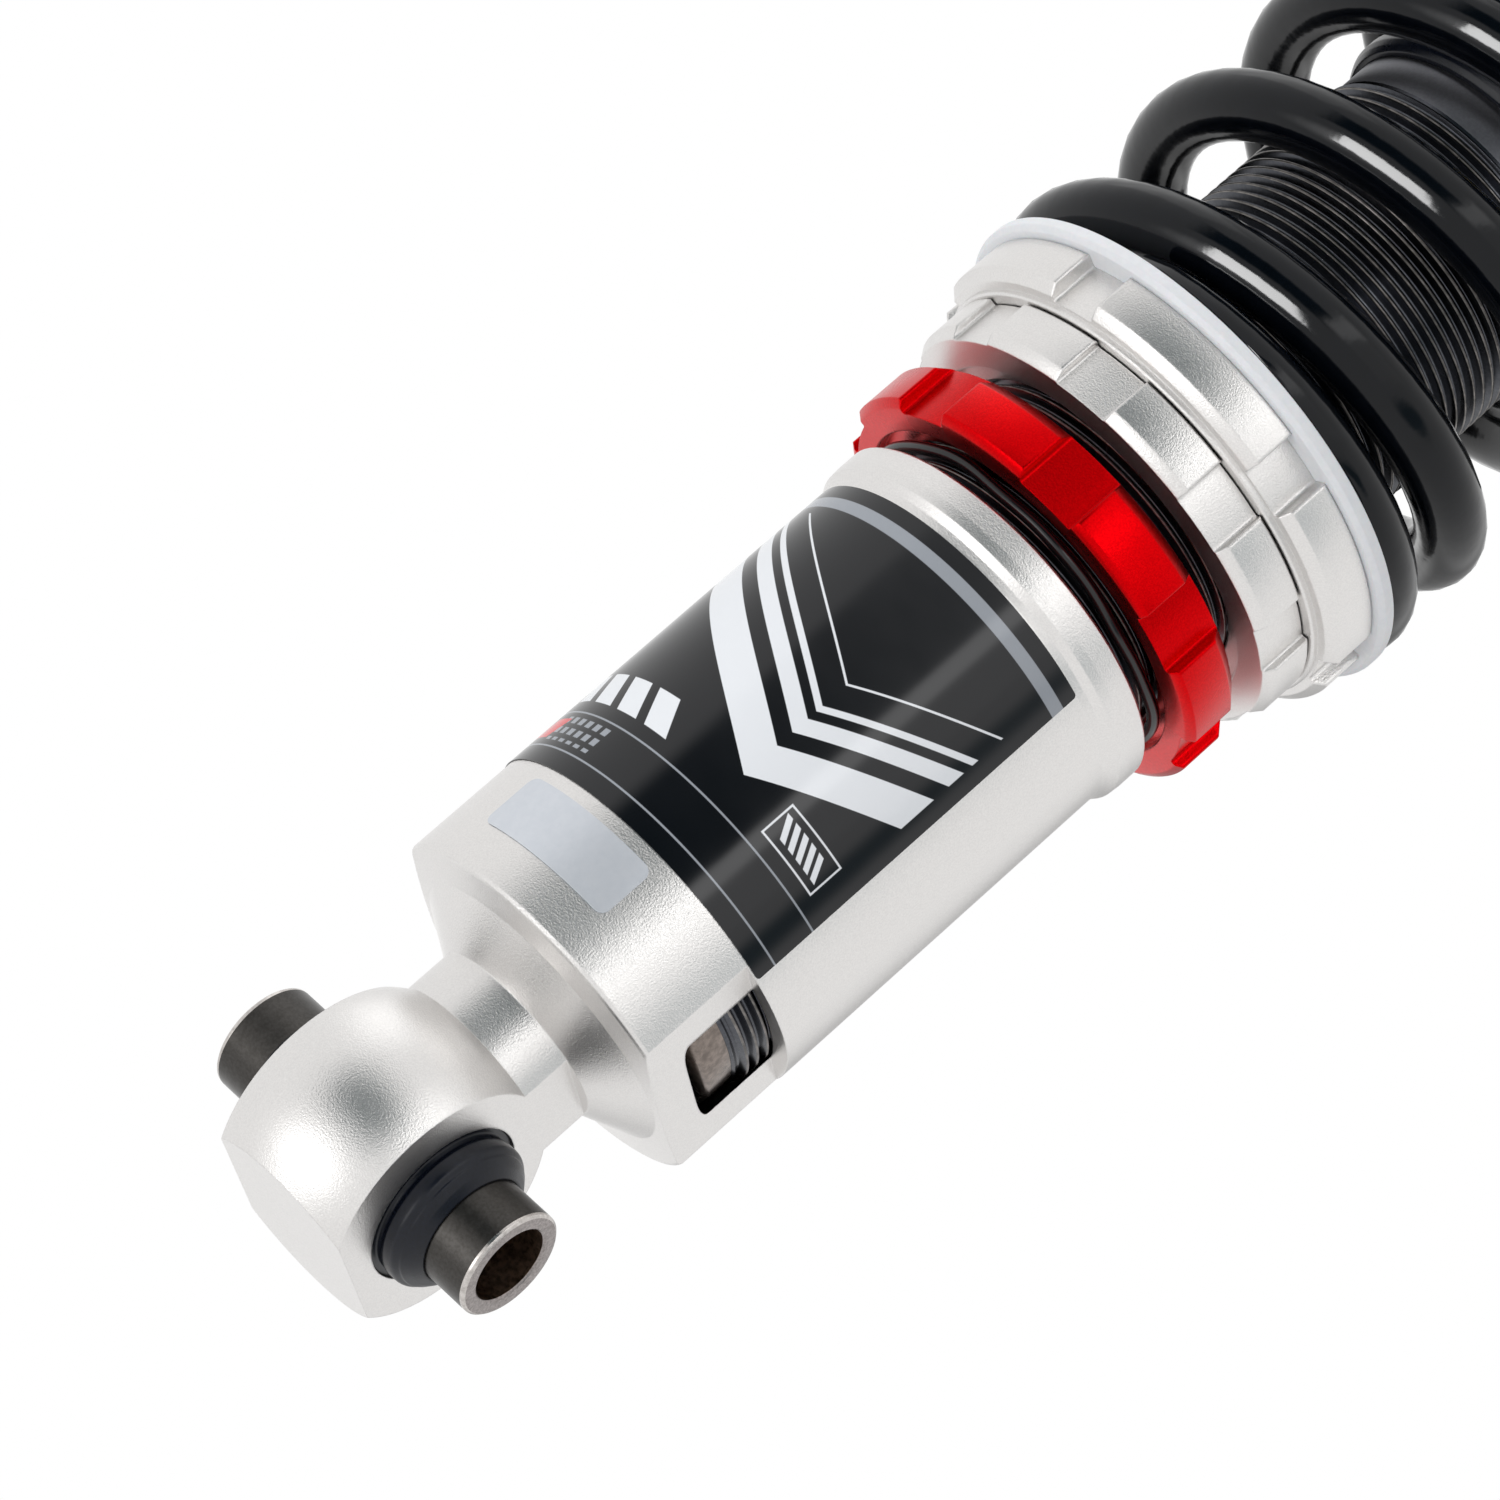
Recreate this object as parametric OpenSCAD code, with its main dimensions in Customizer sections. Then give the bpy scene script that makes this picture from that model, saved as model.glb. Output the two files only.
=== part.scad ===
// Threaded-body coilover with a rubber-bushed lower eye and a pillow-ball top mount
// Millimetres. The origin is the centre of the lower eye bore, +X runs along that bore,
// and +Z runs up the damper axis.

/* [Lower eye] */
// Width of the eye across its two flats
eye_w = 25.6; // [22:0.2:28]
// Radius of the turned ball that the eye is milled from
eye_r = 23.5; // [21:0.1:26]
// Distance of the ball's centre below the bore centre
eye_drop = 0.6; // [0:0.1:1.5]
// Radius of the bore that holds the rubber bush
eye_bore_r = 13.3; // [11.5:0.1:15]
// Distance from the bore centre to the flat under the eye
eye_base = 17.2; // [16:0.1:19]
// Radius of the turned neck above the eye
neck_r = 15.1; // [13.5:0.1:17]
// Height of the neck's top above the bore centre
neck_top = 25.4; // [22:0.1:30]

/* [Bush and sleeve] */
// Length of steel sleeve that stands out of each eye flat
sleeve_out = 14.3; // [9:0.1:20]
// Outer radius of the steel sleeve
sleeve_r = 8.86; // [8:0.02:10]
// Radius of the bolt bore in the sleeve
sleeve_bore_r = 6.2; // [5:0.1:7]
// Chamfer on the sleeve ends
sleeve_chamfer = 0.4; // [0.1:0.1:1]
// Radius of the rubber lip outside the flats
lip_r = 12.4; // [11:0.1:13]
// Length of the rubber lip outside each flat
lip_len = 6.2; // [4:0.1:8]

/* [Bracket cup] */
// Height of the cone under the cup
cone_h = 4.9; // [3:0.1:8]
// Radius of the cone where it meets the cup's underside
cone_r = 23.8; // [19:0.1:27]
// Rise of the cup's underside from the cone out to its edge
under_rise = 0.7; // [0:0.1:2]
// Width of the rounded edge between the underside and the cup wall
cup_edge = 0.8; // [0.3:0.1:2]
// Thickness of the threaded cup wall
cup_wall = 3.45; // [2.5:0.05:6]
// Height of the cup from its cone to its rim
cup_h = 92.1; // [70:0.1:110]
// Metal between the top of the cone and the bore floor
cup_floor = 6.5; // [4:0.1:12]
// Depth of the spanner flats into the cup wall
flat_depth = 5; // [3.8:0.1:6]
// Height of the thread relief above the bore floor
relief_h = 13.8; // [9:0.1:20]
// Radial gap between the thread and its relief
relief_gap = 0.4; // [0.2:0.05:0.8]
// Radius of the inner corner at the bore floor
floor_fillet = 1.5; // [0.5:0.1:3]
// Radial height of the rim bead
bead_out = 1.4; // [0.5:0.1:3]
// Height of the rim bead
bead_h = 7.9; // [6:0.1:14]

/* [Labels] */
// Bare wall left above and below the printed wrap
label_margin = 0.2; // [0.1:0.1:6]
// Angle covered by the printed wrap
label_deg = 215; // [120:1:300]
// Azimuth of the wrap's right-hand edge
label_edge = -28; // [-60:1:0]
// Height of the small blank sticker
sticker_h = 9.9; // [6:0.1:11]
// Angle covered by the blank sticker
sticker_deg = 50; // [20:1:80]
// Azimuth of the blank sticker's right-hand edge
sticker_edge = -70; // [-90:1:-50]
// Thickness of the label film
film_t = 0.12; // [0.05:0.01:0.3]
// Thickness of the adhesive under the films
glue_t = 0.06; // [0.05:0.01:0.2]

/* [Threaded body] */
// Crest radius of the body thread
body_r = 26.5; // [24:0.5:30]
// Thread pitch; the plain band under the thread has its root radius
thread_pitch = 2; // [1.5:0.5:3]
// Length of the threaded body
body_len = 193.3; // [170:0.5:220]
// Wall of the body, from the crest of its thread
body_wall = 3.42; // [2.6:0.02:5]
// Gap left under the body in the cup at the lowest setting
body_gap = 1.9; // [1:0.1:6]
// Thickness of the closed lower end
body_floor = 8.3; // [5:0.1:14]
// Length of the plain band at the lower end
pilot_h = 5.3; // [3:0.1:8]
// Length of the plain seat at the top, under the cap
seat_h = 12; // [8:0.1:16]
// Radial step down to that plain seat
seat_step = 0.9; // [0.3:0.1:1.2]

/* [Collars] */
// Gap between the cup rim and the lock ring
ring_gap = 4.6; // [3.5:0.1:8]
// Height of the lock ring
ring_h = 10.5; // [7:0.1:14]
// Radial width of the lock ring
ring_w = 9.45; // [7:0.05:13]
// Depth of the lock ring's notches
ring_notch = 2.2; // [1:0.1:4]
// Section radius of the sealing ring under the lock ring
oring_r = 1.05; // [0.8:0.05:1.3]
// Gap between the lock ring and the lock collar
collar_gap = 4.2; // [3.8:0.1:12]
// Height of the lock collar
collar_h = 8.6; // [6:0.1:12]
// Radial width of the lock collar
collar_w = 10.95; // [8:0.05:14]
// Depth of the lock collar's notches
collar_notch = 1.5; // [1:0.1:4]
// Gap between the lock collar and the spring perch
perch_gap = 0.2; // [0.1:0.05:1]
// Height of the spring perch
perch_h = 9.5; // [7:0.1:14]
// Overhang of the spring perch beyond the mean coil radius
perch_over = 3.7; // [2:0.1:6]
// Depth of the spring perch's notches
perch_notch = 2.7; // [1:0.1:4]
// Height of the hub that centres the spring
hub_h = 5; // [2:0.1:9]
// Thickness of the nylon washer
washer_t = 2.7; // [1.5:0.1:5]
// Overhang of the nylon washer beyond the perch
washer_over = 1.9; // [0:0.1:4]

/* [Spring] */
// Wire radius
wire_r = 5.5; // [4.5:0.1:6.2]
// Mean radius of the coils
coil_r = 37.5; // [36:0.5:42]
// Free length between the ground ends
spring_len = 180; // [150:1:220]
// Pitch of the active coils
coil_pitch = 27.4; // [18:0.1:36]
// Thickness of the ground tip
tip_t = 4; // [2.5:0.1:5]
// Azimuth of the lower tip
tip_az = -98; // [-180:1:180]

/* [Cartridge] */
// Wall of the damper tube
tube_wall = 3; // [2:0.1:4]
// Length of the plug that closes the tube
plug_h = 10; // [6:0.1:16]
// Length of the gas chamber over the plug
gas_h = 13; // [10:0.1:24]
// Height of the floating piston
float_h = 14; // [8:0.1:20]
// Height of the rod guide
guide_h = 16; // [10:0.1:24]
// Height of the rod seal
seal_h = 3.9; // [2:0.1:6]
// Height of the gland nut that holds the cartridge in
gland_h = 12; // [8:0.1:16]
// Bare length of the seat between the thread and the rubber cap
cap_gap = 6.6; // [1:0.1:9]
// Thickness of the rubber cap's skirt
cap_wall = 2.1; // [1:0.1:3]
// Thickness of the rubber cap's top
cap_top = 4; // [2:0.1:6]

/* [Rod and piston] */
// Radius of the piston rod
rod_r = 7; // [6.5:0.1:9]
// Radius of the rod's upper stud
stud_r = 6; // [5.5:0.1:6.3]
// Radius of the rod's lower stud
tail_r = 5; // [4:0.1:6]
// Radius of the adjuster bore in the rod
needle_bore_r = 2; // [1.5:0.1:2.5]
// Height of the piston
piston_h = 14; // [8:0.1:20]
// Thickness of one shim
shim_t = 0.4; // [0.2:0.05:0.8]
// Number of shims on each side of the piston
shims = 3; // [1:1:5]
// Height of the piston nut
tail_nut_h = 8; // [5:0.1:10]
// Height of the top-out bumper
bumper_h = 8; // [5:0.1:14]
// Travel left over the top-out bumper
rebound_gap = 13; // [12.5:0.1:30]
// Height of the bump stop
stop_h = 38; // [20:0.5:60]
// Outer radius of the bump stop
stop_r = 20; // [14:0.5:24]

/* [Top mount] */
// Thickness of the upper rubber isolator
isolator_t = 3; // [1.5:0.1:5]
// Thickness of the upper spring seat
top_seat_t = 6.3; // [4:0.1:10]
// Overhang of the upper spring seat beyond the spring
top_seat_over = 1; // [0.5:0.1:4]
// Height of the spacer under the ball
spacer_h = 5; // [4.5:0.1:12]
// Radius of the pillow ball
ball_r = 14; // [12.5:0.1:16]
// Half height of the pillow ball
ball_half = 8; // [7:0.1:9]
// Outer radius of the bearing race
race_r = 20; // [18:0.1:22]
// Half height of the bearing race
race_half = 7; // [5:0.1:7.5]
// Radius of the plate flange
plate_r = 50; // [46:0.5:56]
// Thickness of the plate flange
plate_t = 7; // [5:0.1:10]
// Wall of the plate's bearing hub
hub_wall = 6; // [4:0.1:9]
// Pitch circle of the mounting studs
stud_pcd = 80; // [74:0.5:84]
// Radius of a mounting stud
bolt_r = 4; // [3:0.5:5]
// Length of a mounting stud above the plate
bolt_len = 25; // [15:0.5:40]
// Number of mounting studs
bolts = 3; // [2:1:4]
// Height of the top nut
top_nut_h = 10.5; // [7:0.1:14]
// Height of the damping knob
knob_h = 7.7; // [5:0.1:14]
// Radius of the damping knob
knob_r = 8; // [6.5:0.1:10]

/* [Fits] */
// Radial clearance of the threads, which are drawn at their crests
thread_fit = 0.05; // [0.02:0.01:0.2]
// Radial clearance of pressed and seated pieces
seat_fit = 0.02; // [0.01:0.01:0.1]
// Radial clearance of sliding pieces
slide_fit = 0.05; // [0.02:0.01:0.2]

/* [Hidden] */
$fn = 96;

// Heights up the axis, each from the piece below it
cone_top = neck_top + cone_h;
cup_top = cone_top + cup_h;
bore_floor = cone_top + cup_floor;
shoulder = bore_floor + relief_h;
body_z = bore_floor + body_gap;
body_top = body_z + body_len;
thread_z0 = body_z + pilot_h;
thread_z1 = body_top - seat_h;
cap_z = thread_z1 + cap_gap;
tube_z = body_z + body_floor + slide_fit;
gland_top = body_top - 1;
gland_z = gland_top - gland_h;
tube_top = gland_z - slide_fit;
plug_top = tube_z + plug_h;
float_z = plug_top + gas_h;
float_top = float_z + float_h;
seal_z = tube_top - 0.1 - seal_h;
guide_z = seal_z - guide_h;
ring_z = cup_top + ring_gap;
ring_top = ring_z + ring_h;
collar_z = ring_top + collar_gap;
collar_top = collar_z + collar_h;
perch_z = collar_top + perch_gap;
perch_top = perch_z + perch_h;
spring_z = perch_top + washer_t;
spring_top = spring_z + spring_len;
top_seat_z = spring_top + isolator_t;
top_seat_top = top_seat_z + top_seat_t;
rod_shoulder = spring_top - 2.7;
ball_z = top_seat_top + spacer_h;
ball_c = ball_z + ball_half;
ball_top = ball_c + ball_half;
face_z = ball_c + 5;
plate_z = face_z - plate_t;
top_washer_t = 2.5;
nut_z = ball_top + top_washer_t;
nut_top = nut_z + top_nut_h;
rod_end = nut_top + 5;
knob_z = rod_end + 0.3;
bumper_top = guide_z - rebound_gap;
bumper_z = bumper_top - bumper_h;
tail_top = bumper_z - 4;
shim_gap = 0.05;
stack_h = shims * (shim_t + shim_gap);
piston_top = tail_top - stack_h;
piston_z = piston_top - piston_h;
tail_nut_top = piston_z - stack_h;
tail_nut_z = tail_nut_top - tail_nut_h;
tail_end = tail_nut_z - 1.5;

// Radii that follow their neighbours
thread_bore = body_r + thread_fit;
cup_r = thread_bore + cup_wall;
flat_x = cup_r - flat_depth;
relief_r = body_r + relief_gap;
pilot_r = body_r - 0.65 * thread_pitch;
seat_r = body_r - seat_step;
body_bore = body_r - body_wall;
tube_r = body_bore - slide_fit - 0.03;
tube_bore = tube_r - tube_wall;
ring_r = thread_bore + ring_w;
collar_r = thread_bore + collar_w;
perch_r = coil_r + perch_over;
washer_r = perch_r + washer_over;
top_seat_r = coil_r + wire_r + top_seat_over;
band_t = 0.06 * tube_bore;
band_half = 0.215 * piston_h;
knurl_r = 1.09 * bolt_r;
// A six-sided tube section with the area of the round wire
hex_r = wire_r * sqrt(2 * PI / (6 * sin(60)));
hub_r = coil_r - hex_r - 0.85;
cap_r = seat_r + cap_wall;
pin_r = rod_r + 0.04;
hub_out = race_r + seat_fit + hub_wall;
// Closed part of each spring end, then the short lead into the full pitch
closed_deg = 293;
lead_deg = 30;
flat_mid = wire_r + 0.7;

function arc(cx, cy, r, a0, a1, n = 6) =
    [for (i = [0 : n]) [cx + r * cos(a0 + (a1 - a0) * i / n), cy + r * sin(a0 + (a1 - a0) * i / n)]];

// Profile of a thread from root to crest, one ring a pitch, with crests an eighth of the pitch wide
function thread_rings(root, crest, z0, z1) =
    let (turns = floor((z1 - z0) / thread_pitch), flat = thread_pitch / 8)
        concat([for (i = [0 : turns - 1], u = [-0.5 * thread_pitch, -0.5 * flat, 0.5 * flat])
            [abs(u) > flat ? root : crest, z0 + (i + 0.5) * thread_pitch + u]],
            [[root, z0 + turns * thread_pitch]]);

// Solid of revolution about Z from [radius, height] points
module rev(points) { rotate_extrude() polygon(points); }

// Solid of revolution about X from [radius, distance] points
module rev_x(points) { rotate([0, 90, 0]) rotate_extrude() polygon(points); }

// Plain tube between two heights
module ring(r_in, r_out, z0, z1) { rev([[r_in, z0], [r_out, z0], [r_out, z1], [r_in, z1]]); }

// Tube with a chamfer on every edge
module soft_ring(r_in, r_out, z0, z1, c) {
    rev([
        [r_in + c, z0], [r_out - c, z0], [r_out, z0 + c], [r_out, z1 - c],
        [r_out - c, z1], [r_in + c, z1], [r_in, z1 - c], [r_in, z0 + c]
    ]);
}

// Cutter for one hook-spanner notch with a round floor
module notch(deg, floor_r, z0, z1) {
    reach = 1.5 * perch_r;
    difference() {
        translate([0, 0, z0 - 1])
            linear_extrude(z1 - z0 + 2)
                polygon([[0, 0], [reach, -reach * tan(deg / 2)], [reach, reach * tan(deg / 2)]]);
        translate([0, 0, z0 - 2]) cylinder(r = floor_r, h = z1 - z0 + 4);
    }
}

// Evenly spaced notches, the first one at azimuth az
module notches(n, deg, az, floor_r, z0, z1) {
    for (i = [0 : n - 1]) rotate([0, 0, az + i * 360 / n]) notch(deg, floor_r, z0, z1);
}

// Thin film on the cup wall over a range of azimuths
module film(az0, deg, z0, z1) {
    rotate([0, 0, az0 - deg])
        rotate_extrude(angle = deg)
            polygon([
                [cup_r + glue_t, z0], [cup_r + glue_t + film_t, z0],
                [cup_r + glue_t + film_t, z1], [cup_r + glue_t, z1]
            ]);
}

// Ball of the eye and the neck over it, milled to the eye's width and cut flat below
module eye_block() {
    intersection() {
        union() {
            translate([0, 0, -eye_drop]) sphere(r = eye_r);
            cylinder(r = neck_r, h = neck_top + 1);
        }
        translate([-eye_w / 2, -2 * eye_r, -eye_base]) cube([eye_w, 4 * eye_r, eye_base + neck_top + 1]);
    }
}

module lower_bracket() color("gainsboro") {
    difference() {
        union() {
            eye_block();
            rev([
                [0, neck_top], [neck_r, neck_top], [cone_r, cone_top], [cup_r - cup_edge, cone_top + under_rise],
                [cup_r - 0.3 * cup_edge, cone_top + under_rise + 0.3 * cup_edge],
                [cup_r, cone_top + under_rise + cup_edge],
                [cup_r, cup_top - bead_h], [cup_r + 0.25 * bead_out, cup_top - 0.86 * bead_h],
                [cup_r + 0.9 * bead_out, cup_top - 0.7 * bead_h], [cup_r + bead_out, cup_top - 0.49 * bead_h],
                [cup_r + bead_out, cup_top - 0.5], [cup_r + bead_out - 0.5, cup_top], [0, cup_top]
            ]);
        }
        rotate([0, 90, 0]) cylinder(r = eye_bore_r, h = 4 * eye_w, center = true);
        rev(concat(
            [[0, bore_floor]],
            arc(relief_r - floor_fillet, bore_floor + floor_fillet, floor_fillet, -90, 0),
            [[relief_r, shoulder + 2], [thread_bore, shoulder + 2.4], [thread_bore, cup_top - 0.5],
             [thread_bore + 1, cup_top + 0.5], [0, cup_top + 0.5]]
        ));
        for (s = [0, 1])
            rotate([0, 0, 180 * s])
                translate([flat_x, -2 * cup_r, neck_top - 1])
                    cube([cup_r, 4 * cup_r, shoulder - neck_top + 1]);
    }
}

module eye_bush() color("#1b1b1d")
    rev_x([
        [sleeve_r + seat_fit, -eye_w / 2 - lip_len], [sleeve_r + 0.5, -eye_w / 2 - lip_len],
        [lip_r - 1.2, -eye_w / 2 - 0.9 * lip_len], [lip_r - 0.3, -eye_w / 2 - 0.72 * lip_len],
        [lip_r, -eye_w / 2 - 0.58 * lip_len], [lip_r, -eye_w / 2],
        [eye_bore_r - seat_fit, -eye_w / 2], [eye_bore_r - seat_fit, eye_w / 2],
        [lip_r, eye_w / 2], [lip_r, eye_w / 2 + 0.58 * lip_len],
        [lip_r - 0.3, eye_w / 2 + 0.72 * lip_len], [lip_r - 1.2, eye_w / 2 + 0.9 * lip_len],
        [sleeve_r + 0.5, eye_w / 2 + lip_len], [sleeve_r + seat_fit, eye_w / 2 + lip_len]
    ]);

module eye_sleeve() color("#3c4046") {
    e = eye_w / 2 + sleeve_out;
    difference() {
        rev_x([
            [0, -e], [sleeve_r - sleeve_chamfer, -e], [sleeve_r, -e + sleeve_chamfer],
            [sleeve_r, e - sleeve_chamfer], [sleeve_r - sleeve_chamfer, e], [0, e]
        ]);
        rotate([0, 90, 0]) cylinder(r = sleeve_bore_r, h = 2 * e + 2, center = true);
    }
}

module body_label() color("#15161a")
    film(label_edge, label_deg, shoulder + label_margin, cup_top - bead_h - label_margin);

module blank_sticker() color("#cdd6df")
    film(sticker_edge, sticker_deg, shoulder - 2.1 - sticker_h, shoulder - 2.1);

// Body with plain ends, its thread drawn as rings with sharp roots
module threaded_body() color("#2c2c30")
    difference() {
        rev(concat(
            [[0, body_z], [pilot_r - 1, body_z], [pilot_r, body_z + 1]],
            thread_rings(pilot_r, body_r, thread_z0, thread_z1),
            [[seat_r, thread_z1], [seat_r, body_top], [0, body_top]]
        ));
        translate([0, 0, body_z + body_floor]) cylinder(r = body_bore, h = body_len);
    }

// Threaded nut with two pin-spanner holes
module gland_nut() color("#8c9096")
    difference() {
        ring(rod_r + 2, body_bore - seat_fit, gland_z, gland_top);
        for (s = [0, 180]) rotate([0, 0, s])
            translate([(rod_r + 2 + body_bore) / 2, 0, gland_top - 5]) cylinder(r = 2, h = 6);
    }

// Rubber cap that snaps over the body's top
module dust_cap() color("#1a1a1c")
    rev([
        [seat_r + seat_fit, cap_z], [cap_r - 0.3 * cap_wall, cap_z + 1], [cap_r, cap_z + 1.8],
        [cap_r, body_top - 1.6],
        [cap_r - 1.2, body_top + 0.6], [cap_r - 5, body_top + cap_top - 0.6],
        [rod_r + 4, body_top + cap_top], [rod_r + 0.4, body_top + cap_top],
        [rod_r + 0.4, body_top + seat_fit], [seat_r + seat_fit, body_top + seat_fit]
    ]);

module cartridge_tube() color("#9fa4aa") ring(tube_bore, tube_r, tube_z, tube_top);

module base_plug() color("#7b8087") soft_ring(0, tube_bore - seat_fit, tube_z, plug_top, 0.6);

// Floating piston with a groove for its seal
module floating_piston() color("#b9bdc2") {
    r = tube_bore - slide_fit;
    m = (float_z + float_top) / 2;
    rev([
        [0, float_z], [r - 0.6, float_z], [r, float_z + 0.6], [r, m - 1.6], [r - 2.4, m - 1.6],
        [r - 2.4, m + 1.6], [r, m + 1.6], [r, float_top - 0.6], [r - 0.6, float_top], [0, float_top]
    ]);
}

module floating_piston_seal() color("#202022")
    rotate_extrude()
        translate([tube_bore - slide_fit - 1.2, (float_z + float_top) / 2]) circle(r = 1.15, $fn = 32);

module rod_guide() color("#a9adb2") ring(pin_r, tube_bore - seat_fit, guide_z, seal_z);

module rod_seal() color("#242426") ring(pin_r, tube_bore - seat_fit, seal_z, seal_z + seal_h);

// Rubber ring that closes the thread under the lock ring
module sealing_ring() color("#161618")
    rotate_extrude()
        translate([thread_bore + oring_r, ring_z - 0.3 - oring_r]) circle(r = oring_r, $fn = 32);

module lock_ring() color("#d8121c")
    difference() {
        rev([
            [thread_bore, ring_z], [ring_r - 1.5, ring_z], [ring_r, ring_z + 0.9],
            [ring_r, ring_top - 2.2], [ring_r - 2, ring_top], [thread_bore, ring_top]
        ]);
        notches(8, 17.3, -73.5, ring_r - ring_notch, ring_z, ring_top);
    }

module lock_collar() color("gainsboro")
    difference() {
        rev([
            [thread_bore, collar_z], [collar_r - 1.25, collar_z], [collar_r, collar_z + 1.7],
            [collar_r, collar_top - 0.3], [collar_r - 0.3, collar_top], [thread_bore, collar_top]
        ]);
        notches(9, 15.5, -86, collar_r - collar_notch, collar_z, collar_top);
    }

// Perch with a short foot below and a hub that centres the spring
module spring_perch() color("gainsboro")
    difference() {
        rev([
            [thread_bore, perch_z], [perch_r - 3.2, perch_z], [perch_r - 3.2, perch_z + 1.1],
            [perch_r - 1.7, perch_z + 1.1], [perch_r, perch_z + 2.6], [perch_r, perch_top],
            [hub_r, perch_top], [hub_r, perch_top + washer_t + hub_h - 0.8],
            [hub_r - 0.8, perch_top + washer_t + hub_h], [thread_bore, perch_top + washer_t + hub_h]
        ]);
        notches(6, 12.3, -43, perch_r - perch_notch, perch_z, perch_top);
    }

module spring_washer() color("#eef2f6")
    rev([
        [hub_r + 0.3, perch_top], [washer_r - 0.8, perch_top], [washer_r, perch_top + 0.8],
        [washer_r, spring_z - 0.3], [washer_r - 0.3, spring_z], [hub_r + 0.3, spring_z]
    ]);

// Height of the wire centre over the lower ground face, a degrees past the lower tip
function end_h(a) =
    a < closed_deg ? flat_mid - (flat_mid - tip_t + wire_r) * pow(1 - a / closed_deg, 2)
    : a < closed_deg + lead_deg ? flat_mid + coil_pitch / 360 * pow(a - closed_deg, 2) / (2 * lead_deg)
    : flat_mid + coil_pitch / 360 * (a - closed_deg - lead_deg / 2);

coil_deg = 2 * (closed_deg + lead_deg / 2 + (spring_len / 2 - flat_mid) * 360 / coil_pitch);
coil_rings = ceil(coil_deg / 15);

function wire_h(a) = a < coil_deg / 2 ? end_h(a) : spring_len - end_h(coil_deg - a);

function coil_point(i, j) =
    let (a = coil_deg * i / coil_rings, f = 60 * j, r = coil_r + hex_r * cos(f))
    [r * cos(tip_az + a), r * sin(tip_az + a),
     spring_z + min(spring_len, max(0, wire_h(a) + hex_r * sin(f)))];

// Round-wire spring with closed and ground ends, as one six-sided tube
module spring() {
    points = [for (i = [0 : coil_rings]) [for (j = [0 : 5]) coil_point(i, j)]];
    last = 6 * coil_rings;
    faces = concat(
        [for (j = [1 : 4]) [0, j + 1, j]],
        [for (i = [0 : coil_rings - 1], j = [0 : 5]) each
            let (k = (j + 1) % 6) [[6 * i + j, 6 * i + k, 6 * i + 6 + k], [6 * i + j, 6 * i + 6 + k, 6 * i + 6 + j]]],
        [for (j = [1 : 4]) [last, last + j, last + j + 1]]
    );
    gap = min([for (i = [0 : coil_rings - 18], n = [18 : min(30, coil_rings - i)], j = [0 : 5], k = [0 : 5])
        norm(points[i][j] - points[i + n][k])]);
    echo(least_spring_gap = gap, turns = coil_deg / 360);
    color("#0e0e10") polyhedron([for (p = points) each p], faces, convexity = 12);
}

// Rod with a lower tail for the piston, an upper stud and a bore for the adjuster
module piston_rod() color("#d5d8dc")
    difference() {
        rev([
            [0, tail_end], [tail_r, tail_end], [tail_r, tail_top], [rod_r, tail_top],
            [rod_r, rod_shoulder], [stud_r, rod_shoulder], [stud_r, rod_end], [0, rod_end]
        ]);
        translate([0, 0, tail_end - 1]) cylinder(r = needle_bore_r, h = rod_end - tail_end + 2);
    }

// Piston with a band groove and six flow ports
module piston() color("#8f949a") {
    r = tube_bore - slide_fit;
    m = (piston_z + piston_top) / 2;
    difference() {
        rev([
            [tail_r + seat_fit, piston_z], [r, piston_z], [r, m - band_half - 0.05],
            [r - band_t - 0.05, m - band_half - 0.05], [r - band_t - 0.05, m + band_half + 0.05],
            [r, m + band_half + 0.05], [r, piston_top], [tail_r + seat_fit, piston_top]
        ]);
        for (i = [0 : 5]) rotate([0, 0, 60 * i])
            translate([(tail_r + r) / 2, 0, piston_z - 1]) cylinder(r = 2, h = piston_h + 2);
    }
}

module piston_band() color("#4a3a2c") {
    r = tube_bore - slide_fit;
    m = (piston_z + piston_top) / 2;
    ring(r - band_t, r, m - band_half, m + band_half);
}

// Stack of spring-steel discs that get smaller away from the piston
module shim_stack(z, up) {
    for (i = [0 : shims - 1])
        translate([0, 0, z + up * (shim_gap + i * (shim_t + shim_gap)) - (up < 0 ? shim_t : 0)])
            ring(tail_r + seat_fit, tube_bore * (0.8 - 0.075 * i), 0, shim_t);
}

module compression_shims() color("#b4b8bd") shim_stack(piston_top, 1);

module rebound_shims() color("#b4b8bd") shim_stack(piston_z, -1);

module piston_nut() color("#787c82")
    difference() {
        translate([0, 0, tail_nut_z]) cylinder(r = tail_r + 4.5, h = tail_nut_h - shim_gap, $fn = 6);
        translate([0, 0, tail_nut_z - 1]) cylinder(r = tail_r + seat_fit, h = tail_nut_h + 2);
    }

module rebound_bumper() color("#2a4a3a") soft_ring(rod_r + seat_fit, 0.8 * tube_bore, bumper_z, bumper_top, 1);

// Micro-cellular bump stop with two waists
module bump_stop() color("#d8c15a") {
    z = rod_shoulder - stop_h;
    rev([
        [rod_r + 0.1, z], [0.65 * stop_r, z], [0.75 * stop_r, z + 0.05 * stop_h], [0.85 * stop_r, z + 0.22 * stop_h],
        [0.73 * stop_r, z + 0.34 * stop_h], [0.93 * stop_r, z + 0.46 * stop_h], [0.98 * stop_r, z + 0.58 * stop_h],
        [0.8 * stop_r, z + 0.7 * stop_h], [stop_r, z + 0.82 * stop_h], [stop_r, rod_shoulder],
        [rod_r + 0.1, rod_shoulder]
    ]);
}

module upper_isolator() color("#1c1c1e") ring(hub_r + 0.3, top_seat_r - 0.5, spring_top, top_seat_z);

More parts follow.
